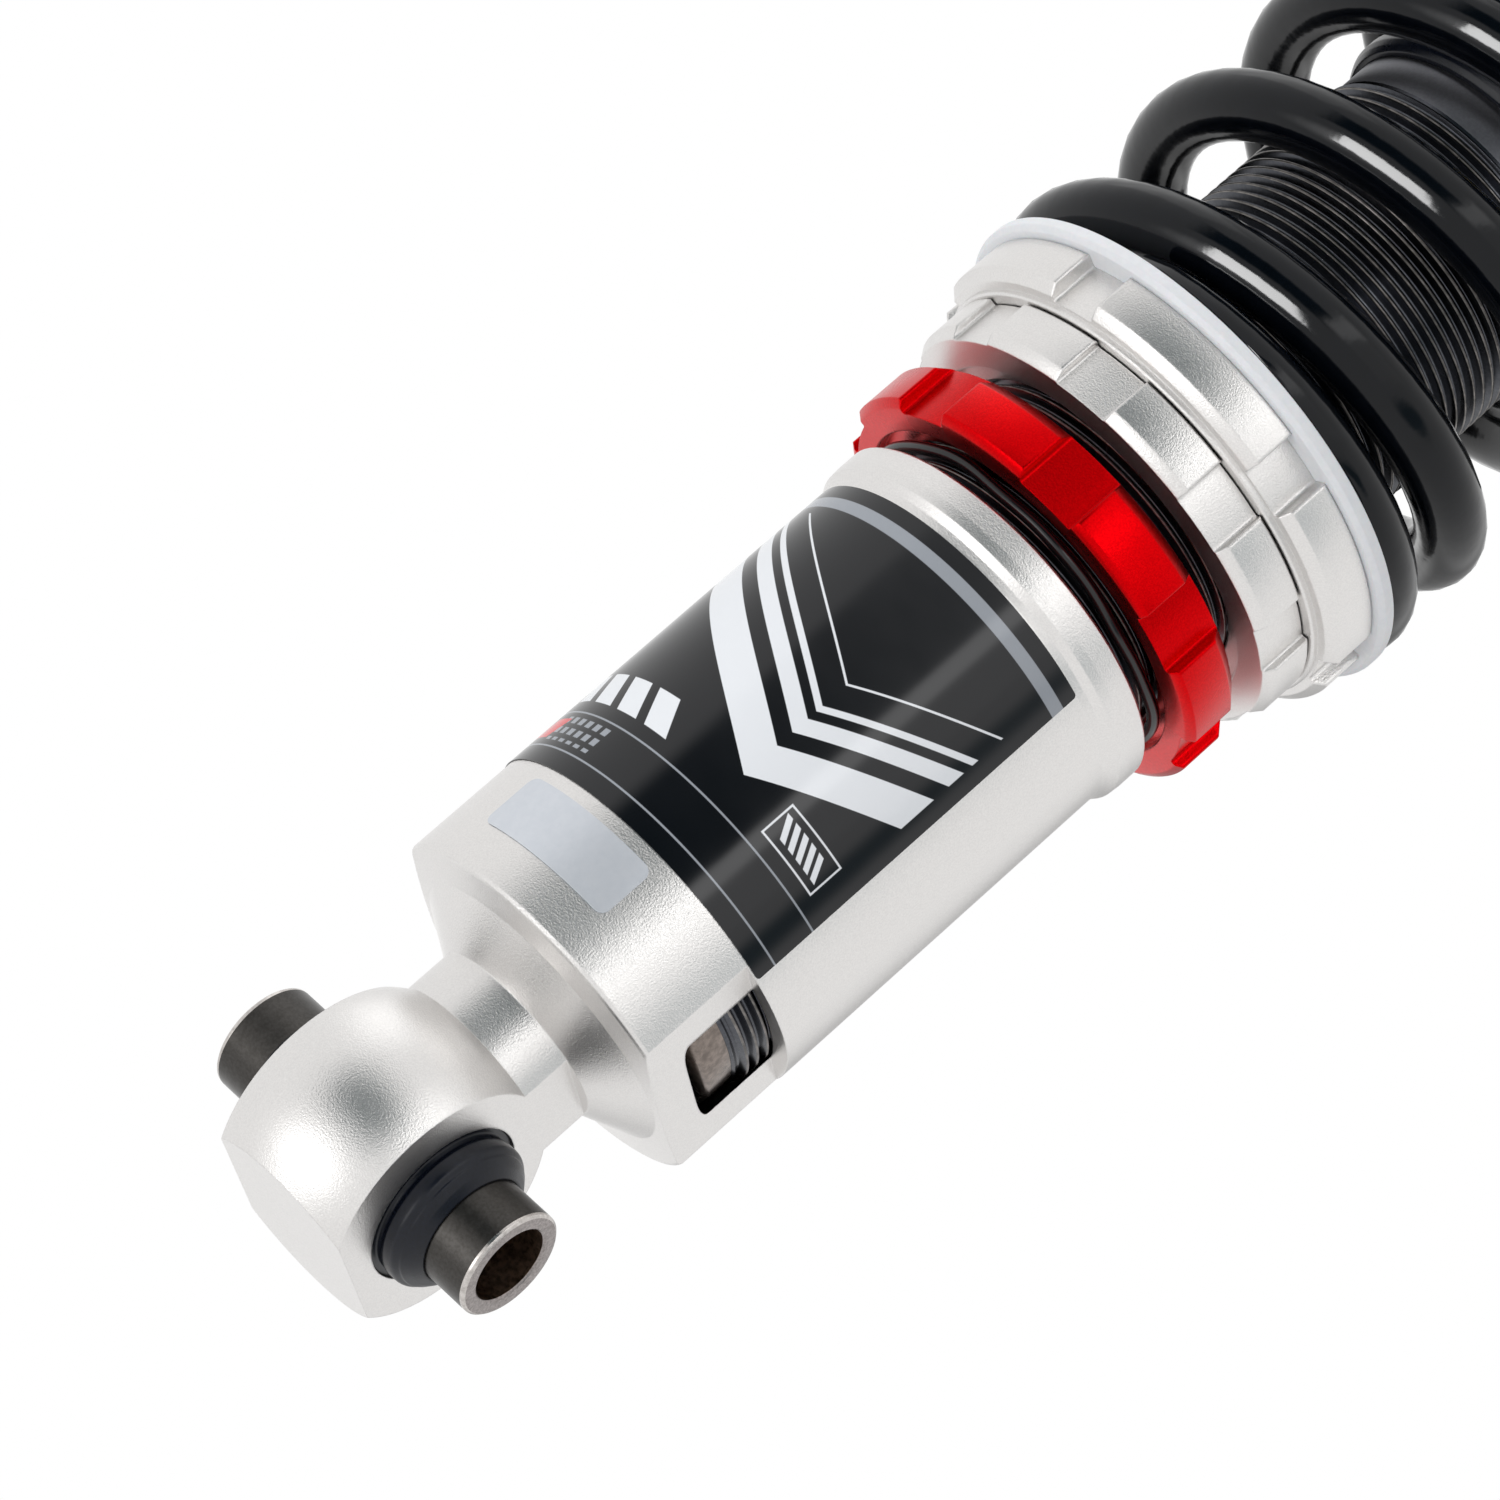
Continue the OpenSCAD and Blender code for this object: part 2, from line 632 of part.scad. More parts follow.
// Upper seat with a boss on the rod's shoulder and a hub inside the spring
module upper_spring_seat() color("gainsboro")
    rev([
        [stud_r + seat_fit, rod_shoulder], [stud_r + 6, rod_shoulder], [stud_r + 6, top_seat_z - 0.5],
        [hub_r - 4, top_seat_z - 0.5], [hub_r - 4, rod_shoulder - 3], [hub_r, rod_shoulder - 3],
        [hub_r, top_seat_z], [top_seat_r, top_seat_z], [top_seat_r, top_seat_top - 1.5],
        [top_seat_r - 1.5, top_seat_top], [stud_r + seat_fit, top_seat_top]
    ]);

module spacer() color("#a0a4aa") ring(stud_r + seat_fit, stud_r + 3, top_seat_top, ball_z);

module bearing_ball() color("#c9ccd0")
    difference() {
        intersection() {
            translate([0, 0, ball_c]) sphere(r = ball_r);
            translate([0, 0, ball_z]) cylinder(r = 2 * ball_r, h = 2 * ball_half);
        }
        translate([0, 0, ball_z - 1]) cylinder(r = stud_r + seat_fit, h = 2 * ball_half + 2);
    }

module bearing_race() color("#85898f")
    difference() {
        translate([0, 0, ball_c - race_half]) cylinder(r = race_r, h = 2 * race_half);
        translate([0, 0, ball_c]) sphere(r = ball_r + slide_fit);
    }

// Snap ring in the groove over the race
module retaining_ring() color("#55595f")
    difference() {
        ring(race_r - 2.6, race_r + 0.6, ball_c + race_half + 0.05, ball_c + race_half + 1.15);
        translate([0, -3, ball_c + race_half - 1]) cube([2 * race_r, 6, 4]);
    }

module top_plate() color("gainsboro") {
    lip = ball_c - race_half;
    difference() {
        union() {
            rev([
                [0, plate_z], [plate_r - 1, plate_z], [plate_r, plate_z + 1], [plate_r, face_z - 1],
                [plate_r - 1, face_z], [0, face_z]
            ]);
            soft_ring(0, hub_out, lip - 1, ball_c + race_half + 2.5, 0.8);
        }
        translate([0, 0, lip]) cylinder(r = race_r + seat_fit, h = 3 * race_half);
        translate([0, 0, lip - 2]) cylinder(r = race_r - 3, h = race_half + 2);
        translate([0, 0, ball_c + race_half]) cylinder(r = race_r + 0.8, h = 1.2);
        for (i = [0 : bolts - 1])
            rotate([0, 0, 90 + i * 360 / bolts])
                translate([stud_pcd / 2, 0, plate_z - 1]) cylinder(r = knurl_r + seat_fit, h = plate_t + 2);
    }
}

// Press-in studs with a knurled shank in the plate, drawn at its crests
module mount_studs() color("#b59a4a")
    for (i = [0 : bolts - 1])
        rotate([0, 0, 90 + i * 360 / bolts]) translate([stud_pcd / 2, 0, 0])
            rev([
                [0, plate_z - 0.75 * bolt_r], [1.6 * bolt_r, plate_z - 0.75 * bolt_r], [1.6 * bolt_r, plate_z],
                [knurl_r, plate_z], [knurl_r, face_z], [bolt_r, face_z], [bolt_r, face_z + bolt_len - 0.25 * bolt_r],
                [0.75 * bolt_r, face_z + bolt_len], [0, face_z + bolt_len]
            ]);

module top_washer() color("#b4b8bd") ring(stud_r + seat_fit, stud_r + 4, ball_top, nut_z);

module top_nut() color("#b4b8bd")
    difference() {
        translate([0, 0, nut_z]) cylinder(r = stud_r + 4.97, h = top_nut_h, $fn = 6);
        translate([0, 0, nut_z - 1]) cylinder(r = stud_r + seat_fit, h = top_nut_h + 2);
    }

// Fluted knob with a blind socket that drives the needle
module damping_knob() color("#1f6fb5")
    difference() {
        rev([
            [0, knob_z], [knob_r - 0.6, knob_z], [knob_r, knob_z + 0.6], [knob_r, knob_z + knob_h - 1],
            [knob_r - 1, knob_z + knob_h], [0, knob_z + knob_h]
        ]);
        translate([0, 0, knob_z - 1]) cylinder(r = needle_bore_r, h = 4);
        for (i = [0 : 11]) rotate([0, 0, 30 * i])
            translate([knob_r + 0.4, 0, knob_z - 1]) cylinder(r = 1.1, h = knob_h + 2, $fn = 32);
    }

module adjuster_needle() color("#c2a24e")
    translate([0, 0, tail_end + 2]) cylinder(r = needle_bore_r - slide_fit, h = knob_z + 3 - tail_end - 2);

lower_bracket();
eye_bush();
eye_sleeve();
body_label();
blank_sticker();
threaded_body();
gland_nut();
dust_cap();
cartridge_tube();
base_plug();
floating_piston();
floating_piston_seal();
rod_guide();
rod_seal();
sealing_ring();
lock_ring();
lock_collar();
spring_perch();
spring_washer();
spring();
piston_rod();
piston();
piston_band();
compression_shims();
rebound_shims();
piston_nut();
rebound_bumper();
bump_stop();
upper_isolator();
upper_spring_seat();
spacer();
bearing_ball();
top_washer();
top_nut();
top_plate();
bearing_race();
retaining_ring();
mount_studs();
damping_knob();
adjuster_needle();
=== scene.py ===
"""Looks of a threaded-body coilover: finishes, fine shapes, studio and camera.

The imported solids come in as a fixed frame. Each sub-assembly below adds the shapes
that the solids leave out, such as threads, rounded edges and printed film, and gives
every piece the finish of the real material. Sizes are in millimetres unless a name
says otherwise.
"""

import logging
import math
from dataclasses import dataclass, field
from enum import Enum
from typing import Callable, Sequence

import bmesh
import bpy
from mathutils import Matrix, Vector


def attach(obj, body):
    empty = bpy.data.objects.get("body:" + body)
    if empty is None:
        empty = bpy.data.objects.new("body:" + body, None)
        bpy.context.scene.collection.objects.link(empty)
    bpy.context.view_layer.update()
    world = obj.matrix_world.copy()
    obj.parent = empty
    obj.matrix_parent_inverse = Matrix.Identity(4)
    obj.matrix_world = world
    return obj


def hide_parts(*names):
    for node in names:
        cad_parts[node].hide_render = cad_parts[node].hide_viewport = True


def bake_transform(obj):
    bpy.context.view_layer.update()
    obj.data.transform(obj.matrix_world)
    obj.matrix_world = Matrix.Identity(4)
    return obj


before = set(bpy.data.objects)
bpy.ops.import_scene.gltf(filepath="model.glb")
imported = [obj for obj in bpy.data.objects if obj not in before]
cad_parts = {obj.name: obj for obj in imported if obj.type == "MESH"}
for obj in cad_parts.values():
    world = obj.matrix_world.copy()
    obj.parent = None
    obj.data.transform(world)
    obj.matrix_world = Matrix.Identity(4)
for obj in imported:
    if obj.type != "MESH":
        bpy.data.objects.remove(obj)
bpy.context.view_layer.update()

LOG = logging.getLogger("coilover")

# Metres in a millimetre, and the other way round
MM = 0.001
PER_METRE = 1000.0
WHITE = (1.0, 1.0, 1.0, 1.0)

# Values that a fine and a slow noise mostly keep between
FINE_RANGE = (0.35, 0.65)
SLOW_RANGE = (0.3, 0.7)
# Bands that the wave texture draws in one unit of its scale
WAVE_BANDS = 20
# Weight and depth of turning marks, the depth in metres
LAY_STRENGTH = 0.35
LAY_DEPTH = 0.00003
# How far light scatters under a surface, in metres
SCATTER = 0.002

# Distance under which vertices of a mesh are one, in metres
WELD = 1e-7
# Angle over which a corner of an outline counts as straight
STRAIGHT = math.radians(178)
# Most of an edge that the rounding of one of its corners may take
CORNER_SHARE = 0.48
# Most of a notch's depth that one milled corner may take, and segments in each part of its wall
MOST_ROUND = 0.45
WALL_STEPS = 5
# Slope at which a thread runs out at its ends
RUN_OUT = 0.9
# Thread form from one root to the next: share of the pitch and share of the depth, 0 at the crest
THREAD_FORM = (
    (0.0, 0.0),
    (0.09, 0.0),
    (0.16, 0.12),
    (0.38, 0.86),
    (0.46, 1.0),
    (0.62, 1.0),
    (0.7, 0.86),
    (0.93, 0.12),
)

Point = tuple[float, float]
Triple = tuple[float, float, float]
Shape = tuple[list[Triple], list[list[int]]]


class Axis(Enum):
    """Axis that a turned piece is round about."""

    X = "x"
    Z = "z"


# --------------------------------------------------------------------------- nodes


def linear(code: str) -> tuple[float, float, float, float]:
    """Turns an sRGB colour into a linear one.

    Args:
        code: Hex colour, such as #C0FFEE.

    Returns:
        Linear red, green, blue and an alpha of 1.
    """
    values = [int(code[i : i + 2], 16) / 255 for i in (1, 3, 5)]
    out = [v / 12.92 if v <= 0.04045 else ((v + 0.055) / 1.055) ** 2.4 for v in values]
    return (out[0], out[1], out[2], 1.0)


def put(
    tree: bpy.types.NodeTree, kind: str, inputs: dict | None = None, **settings: object
) -> bpy.types.Node:
    """Adds one node with its settings and links.

    Args:
        tree: Node tree that the node goes into.
        kind: Blender's name for the node's type.
        inputs: Socket name or number to a value, or to the socket that feeds it.
        **settings: Attributes of the node itself.

    Returns:
        The new node.
    """
    node = tree.nodes.new(kind)
    for name, value in settings.items():
        setattr(node, name, value)
    for key, value in (inputs or {}).items():
        if isinstance(value, bpy.types.NodeSocket):
            tree.links.new(value, node.inputs[key])
        else:
            node.inputs[key].default_value = value
    return node


def bare_tree(owner: bpy.types.Material | bpy.types.World) -> bpy.types.NodeTree:
    """Clears the nodes of a new material or world.

    Args:
        owner: Material or world that the nodes belong to.

    Returns:
        Its empty node tree.
    """
    owner.use_nodes = True
    owner.node_tree.nodes.clear()
    return owner.node_tree


def add_object(name: str, data: bpy.types.ID) -> bpy.types.Object:
    """Puts a new object into the scene.

    Args:
        name: Name of the object.
        data: Mesh, lamp or camera that it shows.

    Returns:
        The object.
    """
    thing = bpy.data.objects.new(name, data)
    bpy.context.scene.collection.objects.link(thing)
    return thing


@dataclass(frozen=True)
class Finish:
    """Surface of one material, from its common properties.

    Attributes:
        name: Plain name of the material and of how its surface was made.
        colour: Main colour, sRGB hex.
        shade: Second colour of the fine pattern, sRGB hex.
        metallic: 1 for bare or anodised metal, 0 otherwise.
        rough: Roughness in the middle of its range.
        rough_span: How far the roughness swings with the slow pattern.
        grain: Spacing of the fine pattern, in millimetres.
        grain_mix: Share of the second colour in the fine pattern.
        depth: Height of the fine pattern, in millimetres.
        cloud: Spacing of the slow pattern, in millimetres.
        ior: Index of refraction of a non-metal.
        edge: Radius in millimetres that the shading gives to sharp edges, or 0.
        lay: Spacing of turning marks in millimetres, or 0 for none.
        lay_axis: Axis that the turning marks step along.
        sheen: Weight of dusty sheen.
        glow: Weight of light that scatters under the surface.
    """

    name: str
    colour: str
    shade: str
    metallic: float = 0.0
    rough: float = 0.4
    rough_span: float = 0.06
    grain: float = 0.5
    grain_mix: float = 0.3
    depth: float = 0.0
    cloud: float = 18.0
    ior: float = 1.5
    edge: float = 0.0
    lay: float = 0.0
    lay_axis: Axis = Axis.Z
    sheen: float = 0.0
    glow: float = 0.0

    def make(self) -> bpy.types.Material:
        """Builds the material.

        Returns:
            The material, or the one of this name that was built before.
        """
        if self.name in bpy.data.materials:
            return bpy.data.materials[self.name]
        material = bpy.data.materials.new(self.name)
        tree = bare_tree(material)
        place = put(tree, "ShaderNodeTexCoord").outputs["Object"]
        fine = put(
            tree,
            "ShaderNodeTexNoise",
            {"Vector": place, "Scale": PER_METRE / self.grain, "Detail": 2.0, "Roughness": 0.6},
        ).outputs["Fac"]
        slow = put(
            tree, "ShaderNodeTexNoise", {"Vector": place, "Scale": PER_METRE / self.cloud, "Detail": 3.0}
        ).outputs["Fac"]
        ramp = put(
            tree,
            "ShaderNodeMapRange",
            {
                "Value": fine,
                "From Min": FINE_RANGE[0],
                "From Max": FINE_RANGE[1],
                "To Min": 0.0,
                "To Max": self.grain_mix,
            },
        ).outputs["Result"]
        tone = put(
            tree,
            "ShaderNodeMix",
            {"Factor": ramp, 6: linear(self.colour), 7: linear(self.shade)},
            data_type="RGBA",
        ).outputs[2]
        rough = put(
            tree,
            "ShaderNodeMapRange",
            {
                "Value": slow,
                "From Min": SLOW_RANGE[0],
                "From Max": SLOW_RANGE[1],
                "To Min": self.rough - self.rough_span,
                "To Max": self.rough + self.rough_span,
            },
        ).outputs["Result"]
        surface = put(
            tree,
            "ShaderNodeBsdfPrincipled",
            {
                "Base Color": tone,
                "Metallic": self.metallic,
                "Roughness": rough,
                "Sheen Weight": self.sheen,
                "Subsurface Weight": self.glow,
                "Subsurface Scale": SCATTER,
            },
        )
        if self.metallic < 0.5:
            surface.inputs["IOR"].default_value = self.ior
        normal = None
        if self.edge:
            normal = put(tree, "ShaderNodeBevel", {"Radius": self.edge * MM}, samples=4).outputs["Normal"]
        reliefs = []
        if self.lay:
            wave = put(
                tree,
                "ShaderNodeTexWave",
                {
                    "Vector": place,
                    "Scale": PER_METRE / self.lay / WAVE_BANDS,
                    "Distortion": 0.6,
                    "Detail": 1.0,
                },
                bands_direction=self.lay_axis.name,
            ).outputs["Fac"]
            reliefs.append({"Height": wave, "Strength": LAY_STRENGTH, "Distance": LAY_DEPTH})
        if self.depth:
            reliefs.append({"Height": fine, "Strength": 1.0, "Distance": self.depth * MM})
        for relief in reliefs:
            under = {} if normal is None else {"Normal": normal}
            normal = put(tree, "ShaderNodeBump", {**relief, **under}).outputs["Normal"]
        if normal is not None:
            tree.links.new(normal, surface.inputs["Normal"])
        put(tree, "ShaderNodeOutputMaterial", {"Surface": surface.outputs[0]})
        return material


# Clear-anodised aluminium, bead blasted: pale satin with a fine sparkle in its shaded parts. The
# blasting is about 0.1 mm apart, and is drawn at 0.28 mm so that it shows
SATIN_ALLOY = Finish(
    "satin_anodised_alloy", "#E4E2E0", "#CBC9C8", 1.0, 0.3, 0.02, 0.28, 0.35, 0.058, 30.0, edge=0.35
)
# The same alloy, turned after blasting: a little brighter and smoother
TURNED_ALLOY = Finish(
    "turned_alloy", "#E6E6E5", "#CFD0D1", 1.0, 0.26, 0.04, 0.3, 0.4, 0.004, 22.0, edge=0.25, lay=0.25
)
# Red anodised aluminium: clear deep red over turned metal, with a sparkle drawn coarser than life
RED_ALLOY = Finish(
    "red_anodised_alloy", "#D60309", "#B00006", 1.0, 0.27, 0.03, 0.3, 0.6, 0.018, 20.0, edge=0.3
)
# Dark anodised body, rolled thread: blue-grey black flanks
DARK_THREAD = Finish("dark_anodised_thread", "#54565B", "#3D3E43", 1.0, 0.25, 0.06, 0.6, 0.5, 0.004, 14.0)
# Crest of that thread: a paler metal that paints a highlight along the crests, thin pale lines with a warm
# cast
CREST_HIGHLIGHT = Finish("thread_crest_painted_highlight", "#827E7B", "#565452", 1.0, 0.32, 0.05, 1.8, 0.9, 0.002, 9.0)
# Plain parts of the same body: smooth matte dark grey
DARK_SEAT = Finish("dark_anodised_seat", "#74757A", "#66676C", 1.0, 0.44, 0.03, 0.5, 0.5, 0.004, 20.0)
# Pilot band turned after anodising, seen in the window: brownish grey
PILOT_BAND = Finish(
    "brown_turned_band", "#8C817A", "#5F5853", 1.0, 0.26, 0.06, 1.2, 0.7, 0.003, 7.0, edge=0.2
)
# Powder-coated spring steel: deep gloss black with a faint orange peel
GLOSS_PAINT = Finish(
    "gloss_powder_coat", "#030509", "#06090F", 0.0, 0.12, 0.03, 3.2, 0.5, 0.03, 30.0, ior=1.34
)
# Natural nylon: cool white, slightly translucent
NYLON = Finish(
    "natural_nylon", "#DBDDE0", "#D2D5D9", 0.0, 0.36, 0.05, 1.2, 0.5, 0.006, 20.0, ior=1.53, edge=0.3,
    glow=0.1,
)
# Moulded rubber: blue black with a soft highlight
RUBBER = Finish(
    "moulded_rubber", "#070B14", "#0F131E", 0.0, 0.28, 0.05, 0.7, 0.6, 0.012, 9.0, ior=1.38, edge=0.25
)
# Nitrile cord: black and wet looking
CORD_RUBBER = Finish("nitrile_cord", "#08090B", "#0D0E11", 0.0, 0.2, 0.04, 0.9, 0.5, 0.008, 5.0, ior=1.5)
# Black-zinc sleeve steel: warm dark grey with soft bands along its length
SLEEVE_STEEL = Finish(
    "black_zinc_steel",
    "#4B4947",
    "#3B3936",
    1.0,
    0.33,
    0.04,
    0.5,
    0.6,
    0.005,
    12.0,
    edge=0.15,
    lay=0.4,
    lay_axis=Axis.X,
)
# Saw-cut and faced end of the sleeve: pinkish grey metal with a fine grain
CUT_STEEL = Finish("faced_raw_steel", "#A09997", "#6E6967", 1.0, 0.32, 0.06, 0.35, 0.7, 0.01, 5.0, edge=0.1)
# Chamfer round that end: a thin bright ring of bare metal
BARE_RIM = Finish("bare_sleeve_chamfer", "#CFCAC6", "#A39E9A", 1.0, 0.24, 0.05, 0.8, 0.6, 0.004, 4.0)
# Bore of the sleeve: brown drawn surface with a little oil
OILED_BORE = Finish("oiled_brown_bore", "#9A8370", "#4C4036", 1.0, 0.36, 0.08, 0.9, 0.9, 0.015, 6.0)
# Turned steel of the inner pieces: mid grey with turning marks
STEEL = Finish(
    "turned_steel", "#B4B6B9", "#96989C", 1.0, 0.28, 0.05, 0.6, 0.5, 0.003, 16.0, edge=0.15, lay=0.3
)
# Bright zinc plate: pale steel with a light mottle
ZINC = Finish("zinc_plate", "#C6C8CA", "#A9ACB0", 1.0, 0.3, 0.06, 1.6, 0.6, 0.004, 7.0, edge=0.2)
# Yellow zinc plate: straw with a rainbow mottle
YELLOW_ZINC = Finish(
    "yellow_zinc_plate", "#C9AE62", "#B08B6A", 1.0, 0.3, 0.06, 2.4, 0.8, 0.004, 6.0, edge=0.15
)
# Hard chrome, ground and polished: near mirror
CHROME = Finish(
    "polished_hard_chrome", "#DADCE0", "#C8CACE", 1.0, 0.12, 0.03, 0.4, 0.3, 0.0005, 30.0, edge=0.1
)
# Ground and polished bearing steel: cool grey, nearly a mirror
BEARING = Finish(
    "polished_bearing_steel", "#C3C5C9", "#B4B6BA", 1.0, 0.14, 0.04, 0.8, 0.3, 0.001, 12.0, edge=0.1
)
# Oiled spring steel of the shims and the snap ring: dark grey with a dull gloss
SHIM_STEEL = Finish("oiled_spring_steel", "#6C6F74", "#4A4C50", 1.0, 0.32, 0.06, 1.0, 0.6, 0.002, 8.0)
# Bronze-filled slide band: matte brown
SLIDE_BAND = Finish("bronze_filled_band", "#6A4B30", "#4E3826", 0.0, 0.6, 0.06, 0.5, 0.7, 0.006, 7.0)
# Micro-cellular bump stop: matte straw foam with fine pores
FOAM = Finish("microcellular_foam", "#D9BE6A", "#B99B4A", 0.0, 0.72, 0.06, 0.9, 0.7, 0.12, 12.0, sheen=0.1)
# Blue anodised aluminium, turned: clear saturated blue
BLUE_ALLOY = Finish(
    "blue_anodised_alloy", "#2460B8", "#1A4890", 1.0, 0.28, 0.04, 0.35, 0.5, 0.004, 12.0, edge=0.15
)
# Turned brass of the needle: warm yellow with turning marks
BRASS = Finish("turned_brass", "#C8A75A", "#AE8E48", 1.0, 0.24, 0.04, 0.5, 0.4, 0.002, 10.0, lay=0.2)
# Blank silvery sticker: pale blue grey, satin, a little metallic
STICKER = Finish("blank_satin_sticker", "#CBCFD5", "#C3C8CF", 0.6, 0.4, 0.04, 1.5, 0.5, 0.003, 12.0)


# --------------------------------------------------------------------------- meshes


def rounded(points: Sequence[tuple[float, ...]], closed: bool = True, steps: int = 5) -> list[Point]:
    """Rounds the corners of an outline.

    Args:
        points: (x, y) or (x, y, radius) of each corner, in order.
        closed: Whether the last point joins the first.
        steps: Segments in each rounded corner.

    Returns:
        The outline with an arc at each corner that has a radius.
    """
    out: list[Point] = []
    count = len(points)
    for i, p in enumerate(points):
        here = Vector(p[:2])
        radius = p[2] if len(p) > 2 else 0.0
        if radius <= 0 or (not closed and i in (0, count - 1)):
            out.append((here.x, here.y))
            continue
        before = Vector(points[i - 1][:2]) - here
        after = Vector(points[(i + 1) % count][:2]) - here
        turn = before.angle(after) if before.length and after.length else math.pi
        if turn > STRAIGHT:
            out.append((here.x, here.y))
            continue
        reach = min(radius / math.tan(turn / 2), CORNER_SHARE * before.length, CORNER_SHARE * after.length)
        start, end = here + before.normalized() * reach, here + after.normalized() * reach
        for k in range(steps + 1):
            t = k / steps
            q = start * (1 - t) ** 2 + here * (2 * t * (1 - t)) + end * t * t
            out.append((q.x, q.y))
    return out


def make_piece(
    name: str,
    vertices: Sequence[Triple],
    faces: Sequence[Sequence[int]],
    finishes: Sequence[bpy.types.Material],
    body: str,
    smooth: float = 32.0,
) -> bpy.types.Object:
    """Makes one mesh object that rides on a body.

    Args:
        name: Name of the piece.
        vertices: Places of its vertices.
        faces: Vertex numbers of its faces.
        finishes: Materials, the first one on every face.
        body: Body that it moves with.
        smooth: Angle in degrees under which an edge is shaded smooth.

    Returns:
        The object, in the scene.
    """
    mesh = bpy.data.meshes.new(name)
    mesh.from_pydata([(x * MM, y * MM, z * MM) for x, y, z in vertices], [], faces)
    work = bmesh.new()
    work.from_mesh(mesh)
    bmesh.ops.remove_doubles(work, verts=work.verts, dist=WELD)
    bmesh.ops.dissolve_degenerate(work, edges=work.edges, dist=WELD)
    bmesh.ops.recalc_face_normals(work, faces=work.faces)
    work.to_mesh(mesh)
    work.free()
    mesh.polygons.foreach_set("use_smooth", [True] * len(mesh.polygons))
    mesh.set_sharp_from_angle(angle=math.radians(smooth))
    for material in finishes:
        mesh.materials.append(material)
    piece = add_object(name, mesh)
    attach(piece, body)
    LOG.info("%s: on %s, %d faces", name, body, len(mesh.polygons))
    return piece


def turned(profile: Sequence[Point], steps: int, axis: Axis = Axis.Z) -> Shape:
    """Turns a closed outline of (radius, height) about an axis.

    Args:
        profile: Outline, in order.
        steps: Segments round the axis.
        axis: Axis that it is turned about.

    Returns:
        Vertices and faces.
    """
    vertices: list[Triple] = []
    faces: list[list[int]] = []
    count = len(profile)
    for i in range(steps):
        a = 2 * math.pi * i / steps
        for r, h in profile:
            u, v = r * math.cos(a), r * math.sin(a)
            vertices.append((u, v, h) if axis is Axis.Z else (h, u, v))
    for i in range(steps):
        j = (i + 1) % steps
        for k in range(count):
            m = (k + 1) % count
            # A stretch of the outline that lies on the axis makes no faces
            if profile[k][0] == profile[m][0] == 0.0:
                continue
            faces.append([i * count + k, j * count + k, j * count + m, i * count + m])
    return vertices, faces


def helix_skin(crest: float, depth: float, pitch: float, z0: float, z1: float, steps: int) -> Shape:
    """Rolls the skin of a right-handed thread between two heights.

    Args:
        crest: Crest radius.
        depth: Depth from crest to root.
        pitch: Rise in one turn.
        z0: Lower end.
        z1: Upper end.
        steps: Segments in one turn.

    Returns:
        Vertices and faces of the open skin, which closes in to the root at both ends.
    """
    form = THREAD_FORM
    rows = int(math.ceil((z1 - z0) / pitch) + 2) * len(form)
    vertices: list[Triple] = []
    faces: list[list[int]] = []
    for i in range(steps):
        a = 2 * math.pi * i / steps
        for j in range(rows):
            turn, k = divmod(j, len(form))
            share, dip = form[k]
            z = z0 + pitch * (turn - 1 + share + i / steps)
            z = min(max(z, z0), z1)
            limit = crest - depth + min(z - z0, z1 - z) * RUN_OUT
            r = min(crest - depth * dip, limit)
            vertices.append((r * math.cos(a), r * math.sin(a), z))
    for i in range(steps):
        for j in range(rows - 1):
            if i < steps - 1:
                k = (i + 1) * rows + j
            elif j + len(form) + 1 < rows:
                k = j + len(form)
            else:
                continue
            faces.append([i * rows + j, k, k + 1, i * rows + j + 1])
    return vertices, faces


def joined(*parts: Shape) -> Shape:
    """Puts several shapes into one.

    Args:
        *parts: Vertices and faces of each shape.

    Returns:
        Vertices and faces of them all.
    """
    vertices: list[Triple] = []
    faces: list[list[int]] = []
    for more, shapes in parts:
        base = len(vertices)
        vertices.extend(more)
        faces.extend([[n + base for n in face] for face in shapes])
    return vertices, faces


def dress_node(name: str, finish: Finish) -> None:
    """Gives a frame node its finish.

    Args:
        name: Name of the node.
        finish: Finish of the whole node.
    """
    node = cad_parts[name]
    node.data.materials.clear()
    node.data.materials.append(finish.make())
    LOG.info("%s: %s", name, finish.name)


def finish_faces(piece: bpy.types.Object, rule: Callable[[Vector, Vector], int]) -> None:
    """Picks a material slot for each face.

    Args:
        piece: Object whose faces are sorted.
        rule: Gives a slot number from a face's centre and normal.
    """
    for face in piece.data.polygons:
        face.material_index = rule(Vector(face.center) / MM, Vector(face.normal))


# ---------------------------------------------------------------------- lower bracket


